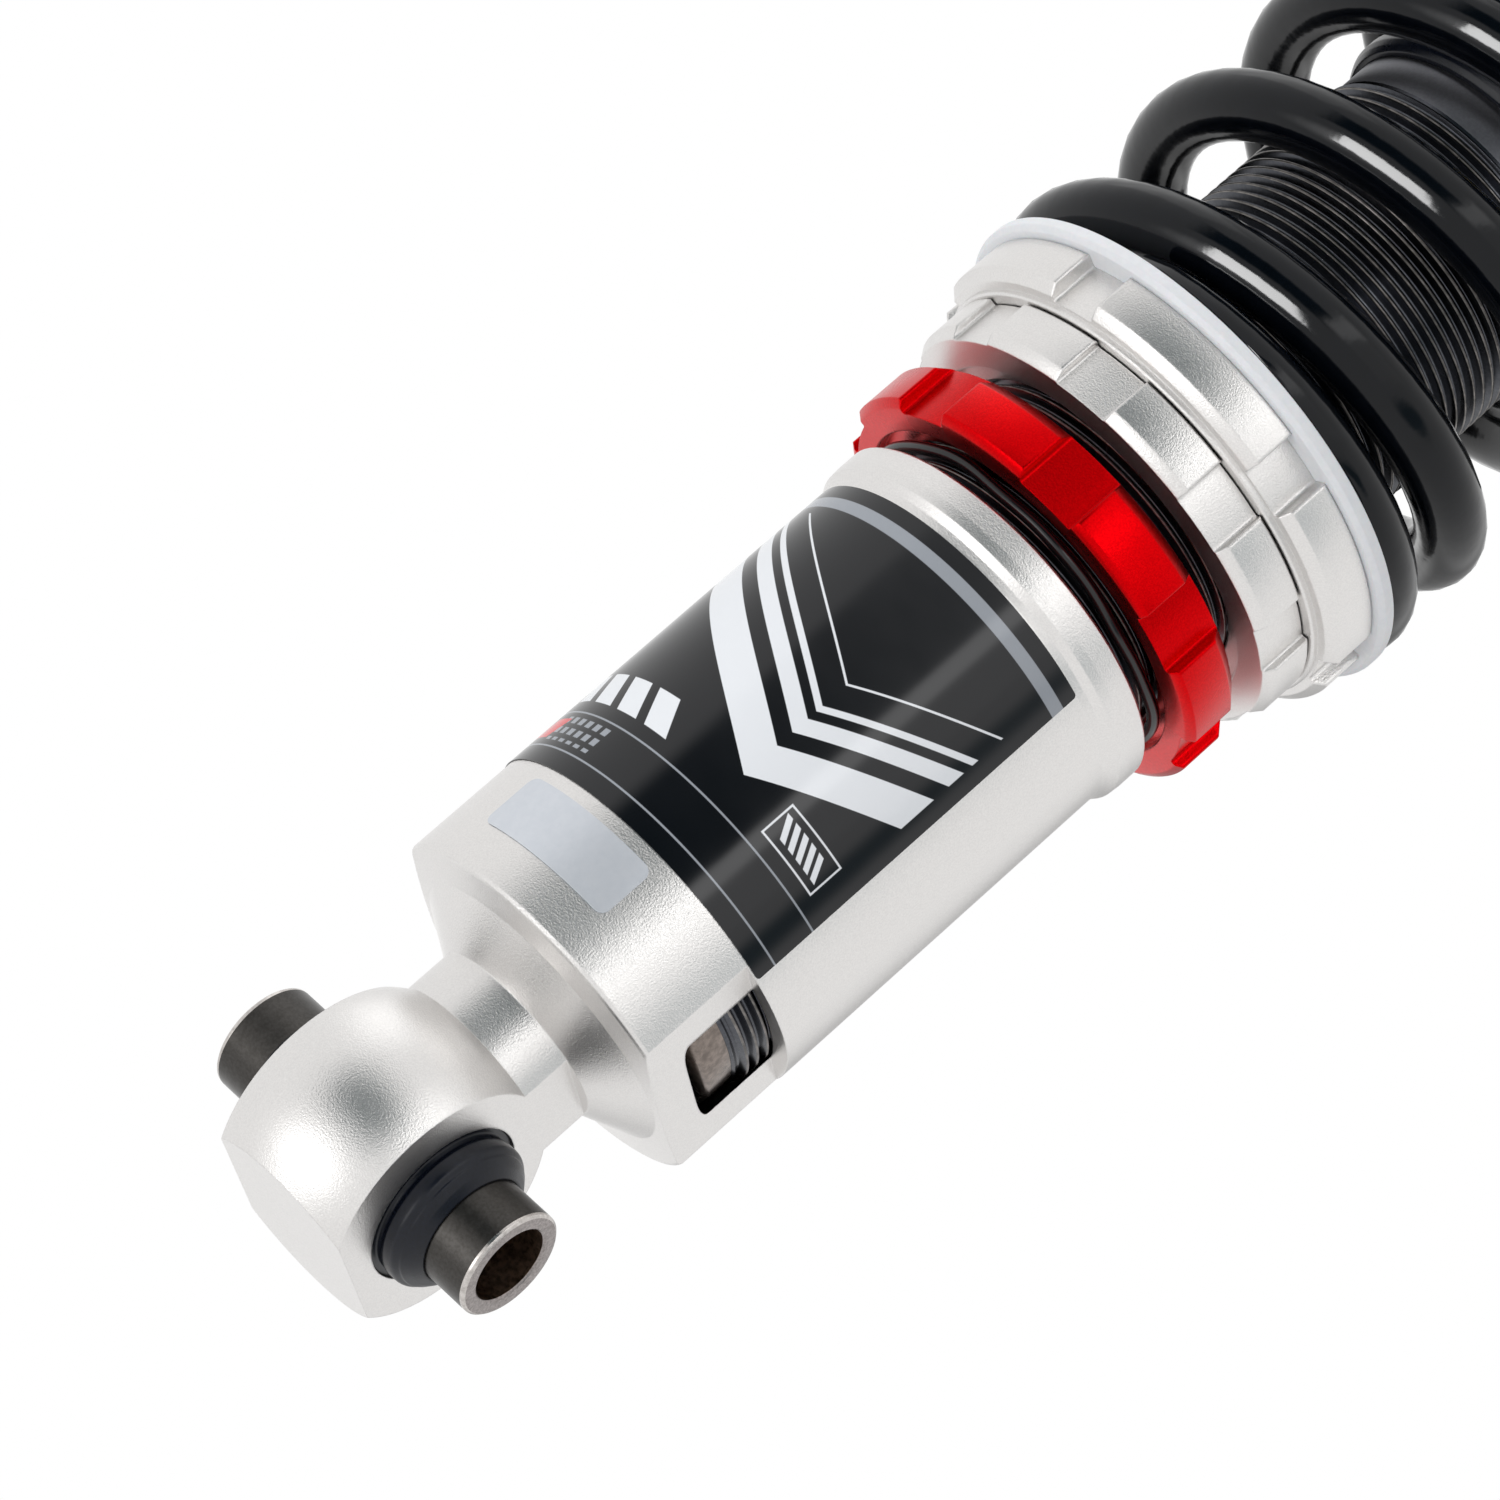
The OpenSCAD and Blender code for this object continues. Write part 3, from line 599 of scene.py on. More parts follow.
@dataclass
class LowerBracket:
    """Eye, neck and cup in one blasted alloy piece, with the rubber bush and its steel sleeve.

    Attributes:
        half_width: Half width of the eye across its flats.
        bore: Radius of the bore that holds the bush.
        sleeve_radius: Outer radius of the sleeve.
        sleeve_bore: Radius of the bolt bore.
        sleeve_end: Distance from the eye's middle to the sleeve's end.
        lip_radius: Radius of the bush's bulged lip.
        lip_end: Distance from the eye's middle to the lip's end.
        rim_long: Length of the sleeve's bare rim.
        rim_high: Height of that rim.
        fit: Gap at a press fit.
    """

    half_width: float = 12.8
    bore: float = 13.3
    sleeve_radius: float = 8.86
    sleeve_bore: float = 6.2
    sleeve_end: float = 27.1
    lip_radius: float = 12.4
    lip_end: float = 19.0
    rim_long: float = 0.75
    rim_high: float = 0.45
    fit: float = 0.02

    def build(self) -> None:
        """Builds the bracket's pieces."""
        dress_node("lower_bracket", SATIN_ALLOY)
        self.bush()
        self.sleeve()

    def bush(self) -> None:
        """Moulds the bush: a groove at the flat, a bulged lip, a crease and a taper down to the sleeve."""
        w, lip = self.half_width, self.lip_radius
        side = rounded(
            [
                (self.bore - self.fit, 0.0),
                (self.bore - self.fit, w - 0.5, 0.3),
                (lip - 0.3, w - 0.45, 0.4),
                (lip - 0.55, w + 0.45, 0.5),
                (lip, w + 1.0, 0.9),
                (lip, w + 3.1, 1.2),
                (lip - 0.75, w + 3.85, 0.25),
                (lip - 0.85, w + 4.15, 0.3),
                (lip - 1.9, self.lip_end - 1.0, 1.4),
                (self.sleeve_radius + 0.35, self.lip_end, 0.3),
                (self.sleeve_radius + self.fit, self.lip_end - 0.1),
            ],
            closed=False,
        )
        profile = [(r, -x) for r, x in reversed(side)] + side[1:]
        piece = make_piece("bonded_bush", *turned(profile, 160, Axis.X), [RUBBER.make()], "bracket", 60)
        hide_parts("eye_bush")

    def sleeve(self) -> None:
        """Turns the sleeve: dark outside, bare faced ends and a brown bore."""
        e, r, b = self.sleeve_end, self.sleeve_radius, self.sleeve_bore
        side = rounded(
            [
                (r, 0.0),
                (r, e - self.rim_long),
                (r - 0.03, e - 0.35, 0.2),
                (r - 0.4, e, 0.12),
                (b + 0.35, e, 0.2),
                (b, e - 0.3, 0.2),
                (b, 0.0),
            ],
            closed=False,
            steps=3,
        )
        profile = side + [(p, -x) for p, x in reversed(side[1:-1])]
        piece = make_piece(
            "steel_sleeve",
            *turned(profile, 128, Axis.X),
            [finish.make() for finish in (SLEEVE_STEEL, CUT_STEEL, OILED_BORE, BARE_RIM)],
            "sleeve",
            40,
        )

        def part(centre: Vector, normal: Vector) -> int:
            """Sorts a face of the sleeve.

            Args:
                centre: Middle of the face.
                normal: Direction that it faces.

            Returns:
                1 on the ends, 2 in the bore, 3 on the outer rim and 0 outside.
            """
            out = math.hypot(centre.y, centre.z)
            if out > r - self.rim_high and abs(centre.x) > e - self.rim_long:
                return 3
            if abs(normal.x) > 0.3:
                return 1
            return 2 if out < 0.5 * (r + b) else 0

        finish_faces(piece, part)
        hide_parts("eye_sleeve")


# --------------------------------------------------------------------------- printed film


@dataclass(frozen=True)
class InkMasks:
    """Masks that a print is laid out with, each 1 on the ink and 0 off it.

    Attributes:
        tree: Node tree of the film.
        fade: Half the width in millimetres over which a printed edge fades.
    """

    tree: bpy.types.NodeTree
    fade: float

    def edge(self, value: bpy.types.NodeSocket, at: float) -> bpy.types.NodeSocket:
        """Prints an edge across the film.

        Args:
            value: Length along the film, in metres.
            at: Place of the edge, in millimetres.

        Returns:
            0 before the edge and 1 after it.
        """
        ends = {"From Min": (at - self.fade) * MM, "From Max": (at + self.fade) * MM}
        return put(self.tree, "ShaderNodeMapRange", {"Value": value, **ends}).outputs["Result"]

    def span(self, value: bpy.types.NodeSocket, low: float, high: float) -> bpy.types.NodeSocket:
        """Prints a band across the film.

        Args:
            value: Length along the film, in metres.
            low: Where the band starts, in millimetres.
            high: Where it ends, in millimetres.

        Returns:
            1 in the band.
        """
        ends = {0: self.edge(value, low), 1: self.edge(value, high)}
        return put(self.tree, "ShaderNodeMath", ends, operation="SUBTRACT").outputs[0]

    def stripes(self, value: bpy.types.NodeSocket, half: float, gap: float) -> bpy.types.NodeSocket:
        """Prints even stripes across the film.

        Args:
            value: Length along the film, in metres.
            half: Half of their spacing, in millimetres.
            gap: Half of the gap between two stripes, in millimetres.

        Returns:
            1 on the stripes.
        """
        fold = put(self.tree, "ShaderNodeMath", {0: value, 1: half * MM}, operation="PINGPONG").outputs[0]
        return self.edge(fold, gap)

    def sheared(
        self, value: bpy.types.NodeSocket, by: bpy.types.NodeSocket, slope: float
    ) -> bpy.types.NodeSocket:
        """Shifts one length along with another, so that what is printed on it slants.

        Args:
            value: Length that is shifted.
            by: Length that it shifts along with.
            slope: Shift for each unit of that.

        Returns:
            The shifted length.
        """
        terms = {0: by, 1: slope, 2: value}
        return put(self.tree, "ShaderNodeMath", terms, operation="MULTIPLY_ADD").outputs[0]

    def overlap(self, *masks: bpy.types.NodeSocket) -> bpy.types.NodeSocket:
        """Keeps what all masks share.

        Args:
            *masks: The masks.

        Returns:
            1 where every mask is 1.
        """
        out = masks[0]
        for mask in masks[1:]:
            out = put(self.tree, "ShaderNodeMath", {0: out, 1: mask}, operation="MULTIPLY").outputs[0]
        return out

    def union(self, *masks: bpy.types.NodeSocket) -> bpy.types.NodeSocket:
        """Puts masks together.

        Args:
            *masks: The masks.

        Returns:
            1 where any mask is 1.
        """
        out = masks[0]
        for mask in masks[1:]:
            out = put(self.tree, "ShaderNodeMath", {0: out, 1: mask}, operation="MAXIMUM").outputs[0]
        return out


@dataclass(frozen=True)
class StripePrint:
    """Gloss black film printed with chevrons, slanted blocks, pinstripes and a small red block.

    Lengths are in millimetres on the film: u runs to the left from its right edge, and v up from its
    lower edge.

    Attributes:
        name: Name of the material.
        ground: Film colour.
        ground_shade: Second colour of the film.
        pale: Colour of the broad bars.
        grey: Colour of the pinstripes.
        accent: Colour of the small block.
        ink: Half the width over which a printed edge fades.
        point: u of the chevrons' point.
        lean: Rise of the chevrons' arms for each millimetre away from their point.
        chevrons: Lower and upper edge of each chevron, over its point.
        chevron_rows: Lowest and highest v of the chevrons.
        chevron_columns: Least and greatest u of the chevrons.
        slant: Shift of the slanted blocks for each millimetre up.
        block_rows: Lowest and highest v of the row of blocks and of the frame.
        blocks: Half spacing, half gap and first and last place of the blocks in the row.
        ladder: The same for the short blocks in the frame.
        ladder_rows: Lowest and highest v of those.
        frame_columns: Least and greatest u of the frame.
        frame_line: Width of the frame's line.
        rails: Lowest and highest v of each pinstripe.
        dots: Half spacing and half gap of the dots.
        dot_rows: Lowest and highest v of the dots.
        dot_columns: Least and greatest u of the dots.
        mark_rows: Lowest and highest v of the small block.
        mark_columns: Least and greatest place of the small block.
        mark_slant: Shift of the small block for each millimetre up.
    """

    name: str = "printed_gloss_film"
    ground: str = "#030408"
    ground_shade: str = "#06080D"
    pale: str = "#DADDE1"
    grey: str = "#8E939A"
    accent: str = "#D0141C"
    ink: float = 0.06
    point: float = 24.0
    lean: float = 0.62
    chevrons: tuple[Point, ...] = ((17.0, 23.5), (26.5, 29.5), (31.2, 32.4), (37.0, 37.4))
    chevron_rows: Point = (13.0, 57.0)
    chevron_columns: Point = (3.0, 109.0)
    slant: float = 0.6
    block_rows: Point = (13.2, 19.4)
    blocks: tuple[float, float, float, float] = (3.4, 1.0, 27.2, 95.2)
    ladder: tuple[float, float, float, float] = (0.9, 0.35, -3.6, 5.4)
    ladder_rows: Point = (14.6, 18.0)
    frame_columns: Point = (4.6, 16.4)
    frame_line: float = 0.3
    rails: tuple[Point, ...] = ((58.6, 60.8), (3.2, 3.5), (10.6, 10.9))
    dots: Point = (1.1, 0.45)
    dot_rows: Point = (4.6, 9.8)
    dot_columns: Point = (44.0, 57.0)
    mark_rows: Point = (5.0, 9.2)
    mark_columns: Point = (60.0, 66.0)
    mark_slant: float = 0.5

    def pale_ink(
        self, masks: InkMasks, u: bpy.types.NodeSocket, v: bpy.types.NodeSocket
    ) -> bpy.types.NodeSocket:
        """Lays out the chevrons, the row of blocks and the framed ladder.

        Args:
            masks: Masks in the film's node tree.
            u: Length to the left, in metres.
            v: Length up, in metres.

        Returns:
            1 on the pale ink.
        """
        tree = masks.tree
        aside = put(tree, "ShaderNodeMath", {0: u, 1: self.point * MM}, operation="SUBTRACT").outputs[0]
        aside = put(tree, "ShaderNodeMath", {0: aside}, operation="ABSOLUTE").outputs[0]
        arm = masks.sheared(v, aside, -self.lean)
        chevrons = masks.overlap(
            masks.union(*(masks.span(arm, *ends) for ends in self.chevrons)),
            masks.span(v, *self.chevron_rows),
            masks.span(u, *self.chevron_columns),
        )
        slant = masks.sheared(u, v, -self.slant)
        rows = (
            masks.overlap(
                masks.stripes(slant, half, gap),
                masks.span(v, *height),
                masks.span(slant, first, last),
            )
            for (half, gap, first, last), height in (
                (self.blocks, self.block_rows),
                (self.ladder, self.ladder_rows),
            )
        )
        outside, inside = (
            masks.overlap(
                masks.span(u, self.frame_columns[0] + line, self.frame_columns[1] - line),
                masks.span(v, self.block_rows[0] + line, self.block_rows[1] - line),
            )
            for line in (0.0, self.frame_line)
        )
        frame_line = put(tree, "ShaderNodeMath", {0: outside, 1: inside}, operation="SUBTRACT").outputs[0]
        return masks.union(chevrons, *rows, frame_line)

    def make(self) -> bpy.types.Material:
        """Builds the film's material.

        Returns:
            The material, which reads a UV map in metres of printed width and height.
        """
        material = bpy.data.materials.new(self.name)
        tree = bare_tree(material)
        place = put(tree, "ShaderNodeTexCoord")
        split = put(tree, "ShaderNodeSeparateXYZ", {"Vector": place.outputs["UV"]})
        u, v = split.outputs["X"], split.outputs["Y"]
        masks = InkMasks(tree, self.ink)
        bars = self.pale_ink(masks, u, v)
        rails = masks.union(*(masks.span(v, *ends) for ends in self.rails))
        # The rows of dots start on the lower pinstripe
        up = put(tree, "ShaderNodeMath", {0: v, 1: self.rails[1][1] * MM}, operation="SUBTRACT").outputs[0]
        dots = masks.overlap(
            masks.stripes(u, *self.dots),
            masks.stripes(up, *self.dots),
            masks.span(u, *self.dot_columns),
            masks.span(v, *self.dot_rows),
        )
        mark = masks.overlap(
            masks.span(v, *self.mark_rows),
            masks.span(masks.sheared(u, v, self.mark_slant), *self.mark_columns),
        )
        slow = put(
            tree, "ShaderNodeTexNoise", {"Vector": place.outputs["Object"], "Scale": 60.0, "Detail": 2.0}
        ).outputs["Fac"]
        tone, top = linear(self.ground), linear(self.ground_shade)
        inks = ((dots, self.grey), (rails, self.grey), (bars, self.pale), (mark, self.accent))
        for mask, colour in ((slow, top), *((mask, linear(code)) for mask, code in inks)):
            tone = put(
                tree, "ShaderNodeMix", {"Factor": mask, 6: tone, 7: colour}, data_type="RGBA"
            ).outputs[2]
        rough = put(
            tree, "ShaderNodeMapRange", {"Value": slow, "To Min": 0.1, "To Max": 0.17}
        ).outputs["Result"]
        bump = put(tree, "ShaderNodeBump", {"Height": slow, "Strength": 0.5, "Distance": 0.0001})
        surface = put(
            tree,
            "ShaderNodeBsdfPrincipled",
            {"Base Color": tone, "Roughness": rough, "Normal": bump.outputs["Normal"], "IOR": 1.5},
        )
        put(tree, "ShaderNodeOutputMaterial", {"Surface": surface.outputs[0]})
        return material


@dataclass
class Films:
    """Printed wrap round the cup and the small blank sticker under it.

    Attributes:
        radius: Mean radius of a film.
        thickness: Thickness of a film.
        wrap_edge: Azimuth of the wrap's right-hand edge.
        wrap_turn: Angle that the wrap covers.
        wrap_low: Lower edge of the wrap.
        wrap_high: Upper edge of the wrap.
        sticker_edge: Azimuth of the sticker's right-hand edge.
        sticker_turn: Angle that the sticker covers.
        sticker_low: Lower edge of the sticker.
        sticker_high: Upper edge of the sticker.
        wrap_corner: Corner radius of the wrap.
        sticker_corner: Corner radius of the sticker.
        corner_steps: Segments in a corner.
        columns: Segments between the corners.
        rows: Segments up a film.
    """

    radius: float = 30.12
    thickness: float = 0.12
    wrap_edge: float = -28.0
    wrap_turn: float = 215.0
    wrap_low: float = 50.8
    wrap_high: float = 114.3
    sticker_edge: float = -70.0
    sticker_turn: float = 50.0
    sticker_low: float = 38.6
    sticker_high: float = 48.5
    wrap_corner: float = 0.6
    sticker_corner: float = 1.6
    corner_steps: int = 8
    columns: int = 150
    rows: int = 6

    def build(self) -> None:
        """Builds both films."""
        wrap = self.film(
            "printed_wrap",
            self.wrap_edge,
            self.wrap_turn,
            self.wrap_low,
            self.wrap_high,
            self.wrap_corner,
            StripePrint().make(),
        )
        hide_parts("body_label")
        tag = self.film(
            "blank_tag",
            self.sticker_edge,
            self.sticker_turn,
            self.sticker_low,
            self.sticker_high,
            self.sticker_corner,
            STICKER.make(),
        )
        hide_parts("blank_sticker")

    def film(
        self,
        name: str,
        edge: float,
        turn: float,
        low: float,
        high: float,
        corner: float,
        skin: bpy.types.Material,
    ) -> bpy.types.Object:
        """Bends one film with rounded corners round the cup.

        Args:
            name: Name of the piece.
            edge: Azimuth of its right-hand edge.
            turn: Angle that it covers.
            low: Lower edge.
            high: Upper edge.
            corner: Corner radius.
            skin: Its printed material.

        Returns:
            The film, with a UV map in metres.
        """
        width = self.radius * math.radians(turn)
        height = high - low
        steps = self.corner_steps
        insets = [corner * (1 - math.cos(math.radians(90 * k / steps))) for k in range(steps + 1)]
        columns = sorted(
            {round(c, 4) for c in insets}
            | {round(width - c, 4) for c in insets}
            | {round(corner + (width - 2 * corner) * k / self.columns, 4) for k in range(self.columns + 1)}
        )
        rows = self.rows
        outer = self.radius + self.thickness / 2
        vertices: list[Triple] = []
        flat: list[Point] = []
        for depth in (outer, outer - self.thickness):
            for u in columns:
                inset = 0.0
                reach = min(u, width - u)
                if reach < corner:
                    inset = corner - math.sqrt(max(0.0, corner**2 - (corner - reach) ** 2))
                a = math.radians(edge) - u / self.radius
                for k in range(rows + 1):
                    v = inset + (height - 2 * inset) * k / rows
                    vertices.append((depth * math.cos(a), depth * math.sin(a), low + v))
                    flat.append((u, v))
        step = rows + 1
        side = len(columns) * step
        faces: list[list[int]] = []
        for i in range(len(columns) - 1):
            for k in range(rows):
                n = i * step + k
                faces.append([n, n + 1, n + step + 1, n + step])
                faces.append([side + n, side + n + step, side + n + step + 1, side + n + 1])
            for k in (0, rows):
                n = i * step + k
                faces.append([n, n + step, side + n + step, side + n])
        for i in (0, len(columns) - 1):
            for k in range(rows):
                n = i * step + k
                faces.append([n, n + 1, side + n + 1, side + n])
        piece = make_piece(name, vertices, faces, [skin], "bracket", 40)
        layer = piece.data.uv_layers.new(name="print")
        for loop in piece.data.loops:
            x, y, z = piece.data.vertices[loop.vertex_index].co / MM
            a = (math.radians(edge) - math.atan2(y, x)) % (2 * math.pi)
            layer.data[loop.index].uv = (a * self.radius * MM, (z - low) * MM)
        return piece


# ----------------------------------------------------------------------- threaded body


@dataclass
class ThreadedBody:
    """Damper body with a rolled thread between a plain band and a plain seat, its rubber cap and gland nut.

    Attributes:
        crest: Crest radius of the thread.
        pitch: Thread pitch.
        depth: Thread depth.
        low: Lower end of the body.
        thread_low: Lower end of the thread.
        thread_high: Upper end of the thread.
        high: Upper end of the body.
        band: Radius of the plain band at the lower end.
        seat: Radius of the plain seat under the cap.
        bore: Radius of the bore.
        floor: Height of the bore's floor.
        cap_low: Lower edge of the cap.
        cap_radius: Outer radius of the cap.
        cap_bore: Radius of the cap's hole round the rod.
        under: How far the core lies under the thread's roots.
        crest_highlight_depth: Depth of the crest band that carries the painted highlight.
        fit: Gap between the cap and the body.
    """

    crest: float = 26.5
    pitch: float = 2.0
    depth: float = 1.3
    low: float = 38.7
    thread_low: float = 44.0
    thread_high: float = 220.0
    high: float = 232.0
    band: float = 25.2
    seat: float = 25.6
    bore: float = 23.08
    floor: float = 47.0
    cap_low: float = 226.6
    cap_radius: float = 27.7
    cap_bore: float = 7.4
    under: float = 0.1
    crest_highlight_depth: float = 0.1
    fit: float = 0.02

    def build(self) -> None:
        """Builds the body and its cap."""
        root = self.crest - self.depth - self.under
        core = rounded(
            [
                (0.0, self.low),
                (self.band - 0.9, self.low),
                (self.band, self.low + 0.9),
                (self.band, self.thread_low - 0.6),
                (root, self.thread_low + 0.6),
                (root, self.thread_high - 0.6),
                (self.seat, self.thread_high + 0.2),
                (self.seat, self.high - 0.5),
                (self.seat - 0.5, self.high),
                (self.bore + 0.5, self.high),
                (self.bore, self.high - 0.5),
                (self.bore, self.floor),
                (0.0, self.floor),
            ]
        )
        thread = helix_skin(self.crest, self.depth, self.pitch, self.thread_low, self.thread_high, 120)
        shape = joined(turned(core, 160), thread)
        skins = [finish.make() for finish in (DARK_THREAD, CREST_HIGHLIGHT, DARK_SEAT, PILOT_BAND)]
        piece = make_piece("threaded_barrel", *shape, skins, "damper_body", 50)

        def part(centre: Vector, normal: Vector) -> int:
            """Sorts a face of the body.

            Args:
                centre: Middle of the face.
                normal: Direction that it faces, which isn't needed here.

            Returns:
                1 on the crests, 2 on the seat, 3 on the pilot band and 0 on the flanks.
            """
            if centre.z < self.thread_low:
                return 3
            if centre.z > self.thread_high:
                return 2
            # The crests take a paler metal: a painted highlight along the thread
            return 1 if math.hypot(centre.x, centre.y) > self.crest - self.crest_highlight_depth else 0

        finish_faces(piece, part)
        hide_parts("threaded_body")
        self.cap()
        dress_node("gland_nut", STEEL)

    def cap(self) -> None:
        """Moulds the rubber cap over the body's top."""
        z, top, r = self.cap_low, self.high, self.cap_radius
        inner = self.seat + self.fit
        profile = rounded(
            [
                (inner, z),
                (r - 1.2, z, 0.4),
                (r - 0.5, z + 0.9, 0.4),
                (r, z + 1.8, 0.5),
                (r, top - 1.6, 0.8),
                (r - 1.2, top + 0.6, 1.0),
                (r - 5.0, top + 3.4, 1.5),
                (11.0, top + 4.0, 0.8),
                (self.cap_bore, top + 4.0, 0.3),
                (self.cap_bore, top + self.fit),
                (inner, top + self.fit),
            ]
        )
        piece = make_piece("rubber_cap", *turned(profile, 160), [RUBBER.make()], "damper_body", 50)
        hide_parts("dust_cap")


# ------------------------------------------------------------------------------ collars


@dataclass
class Castellation:
    """Notched ring, turned and milled.

    Attributes:
        radius: Outer radius of the teeth.
        floor: Radius of the notch floors.
        count: Number of notches.
        width: Angle of one notch.
        first: Azimuth of the first notch.
        corner: Radius of the milled corners.
        bore: Bore radius.
        levels: Height and radius limit of each turned step, from the bottom up.
        recess: Radius of the counterbore in the lower face, or 0 for a plain chamfer.
        recess_depth: Depth of that counterbore.
        chamfer: Chamfer of the bore.
        lead: Chamfer from the counterbore into the bore.
        rim: Chamfer of the counterbore's rim.
        floor_steps: Segments in a notch floor.
        tooth_steps: Segments in the top of a tooth.
        floor_share: Share of the notch that its floor points keep to.
        tooth_share: Share of half a notch at which a tooth's points start.
    """

    radius: float
    floor: float
    count: int
    width: float
    first: float
    corner: float
    bore: float
    levels: list[Point]
    recess: float = 0.0
    recess_depth: float = 0.0
    chamfer: float = 0.8
    lead: float = 0.7
    rim: float = 0.3
    floor_steps: int = 6
    tooth_steps: int = 24
    floor_share: float = 0.8
    tooth_share: float = 1.12

    def outline(self) -> list[Point]:
        """Draws the ring in plan, with milled corners.

        Returns:
            Azimuth in radians and radius of its points.
        """
        flat: list[Point] = []
        turn = 2 * math.pi / self.count
        half = math.radians(self.width) / 2
        start = math.radians(self.first)
        outer, inner = self.radius, self.floor
        for n in range(self.count):
            a = start + n * turn
            near, far = half * self.floor_share, half * self.tooth_share
            for k in range(self.floor_steps + 1):
                flat.append((a - near + 2 * near * k / self.floor_steps, inner))
            flat.extend(self.wall(a + half, inner, outer, 1))
            for k in range(self.tooth_steps + 1):
                flat.append((a + far + (turn - 2 * far) * k / self.tooth_steps, outer))
            flat.extend(self.wall(a + turn - half, inner, outer, -1))
        return flat

    def wall(self, at: float, inner: float, outer: float, way: int) -> list[Point]:
        """Draws one side wall of a notch, with a round at its foot and its top.

        Args:
            at: Azimuth of the wall.
            inner: Radius of the floor.
            outer: Radius of the tooth.
            way: 1 where the tooth follows the notch, -1 where it comes before.

        Returns:
            Azimuth and radius of the wall's points, in order of azimuth.
        """
        c = min(self.corner, MOST_ROUND * (outer - inner))
        steps = WALL_STEPS
        arc = [math.pi / 2 * k / steps for k in range(steps + 1)]
        points = [(at - c / inner * (1 - math.sin(t)), inner + c * (1 - math.cos(t))) for t in arc]
        points += [(at, inner + c + (outer - inner - 2 * c) * k / steps) for k in range(1, steps)]
        points += [(at + c / outer * (1 - math.cos(t)), outer - c * (1 - math.sin(t))) for t in arc]
        if way < 0:
            points = [(2 * at - a, r) for a, r in reversed(points)]
        return points

    def mesh(self) -> Shape:
        """Builds the ring from its outline, its turned steps and its bore.

        Returns:
            Its vertices and faces.
        """
        flat = self.outline()
        count = len(flat)
        rings: list[list[Triple]] = []
        for z, limit in self.levels:
            rings.append([(min(r, limit) * math.cos(a), min(r, limit) * math.sin(a), z) for a, r in flat])
        low, high = self.levels[0][0], self.levels[-1][0]
        bore, cut, lead, rim = self.bore, self.chamfer, self.lead, self.rim
        inside = [(high, bore + cut), (high - cut, bore)]
        if self.recess:
            step = low + self.recess_depth
            inside += [(step + lead, bore), (step, bore + lead), (step, self.recess)]
            inside += [(low + rim, self.recess), (low, self.recess + rim)]
        else:
            inside += [(low + cut, bore), (low, bore + cut)]
        for z, r in inside:
            rings.append([(r * math.cos(a), r * math.sin(a), z) for a, _ in flat])
        vertices = [p for ring in rings for p in ring]
        faces: list[list[int]] = []
        for k in range(len(rings)):
            m = (k + 1) % len(rings)
            for i in range(count):
                j = (i + 1) % count
                faces.append([k * count + i, k * count + j, m * count + j, m * count + i])
        return vertices, faces


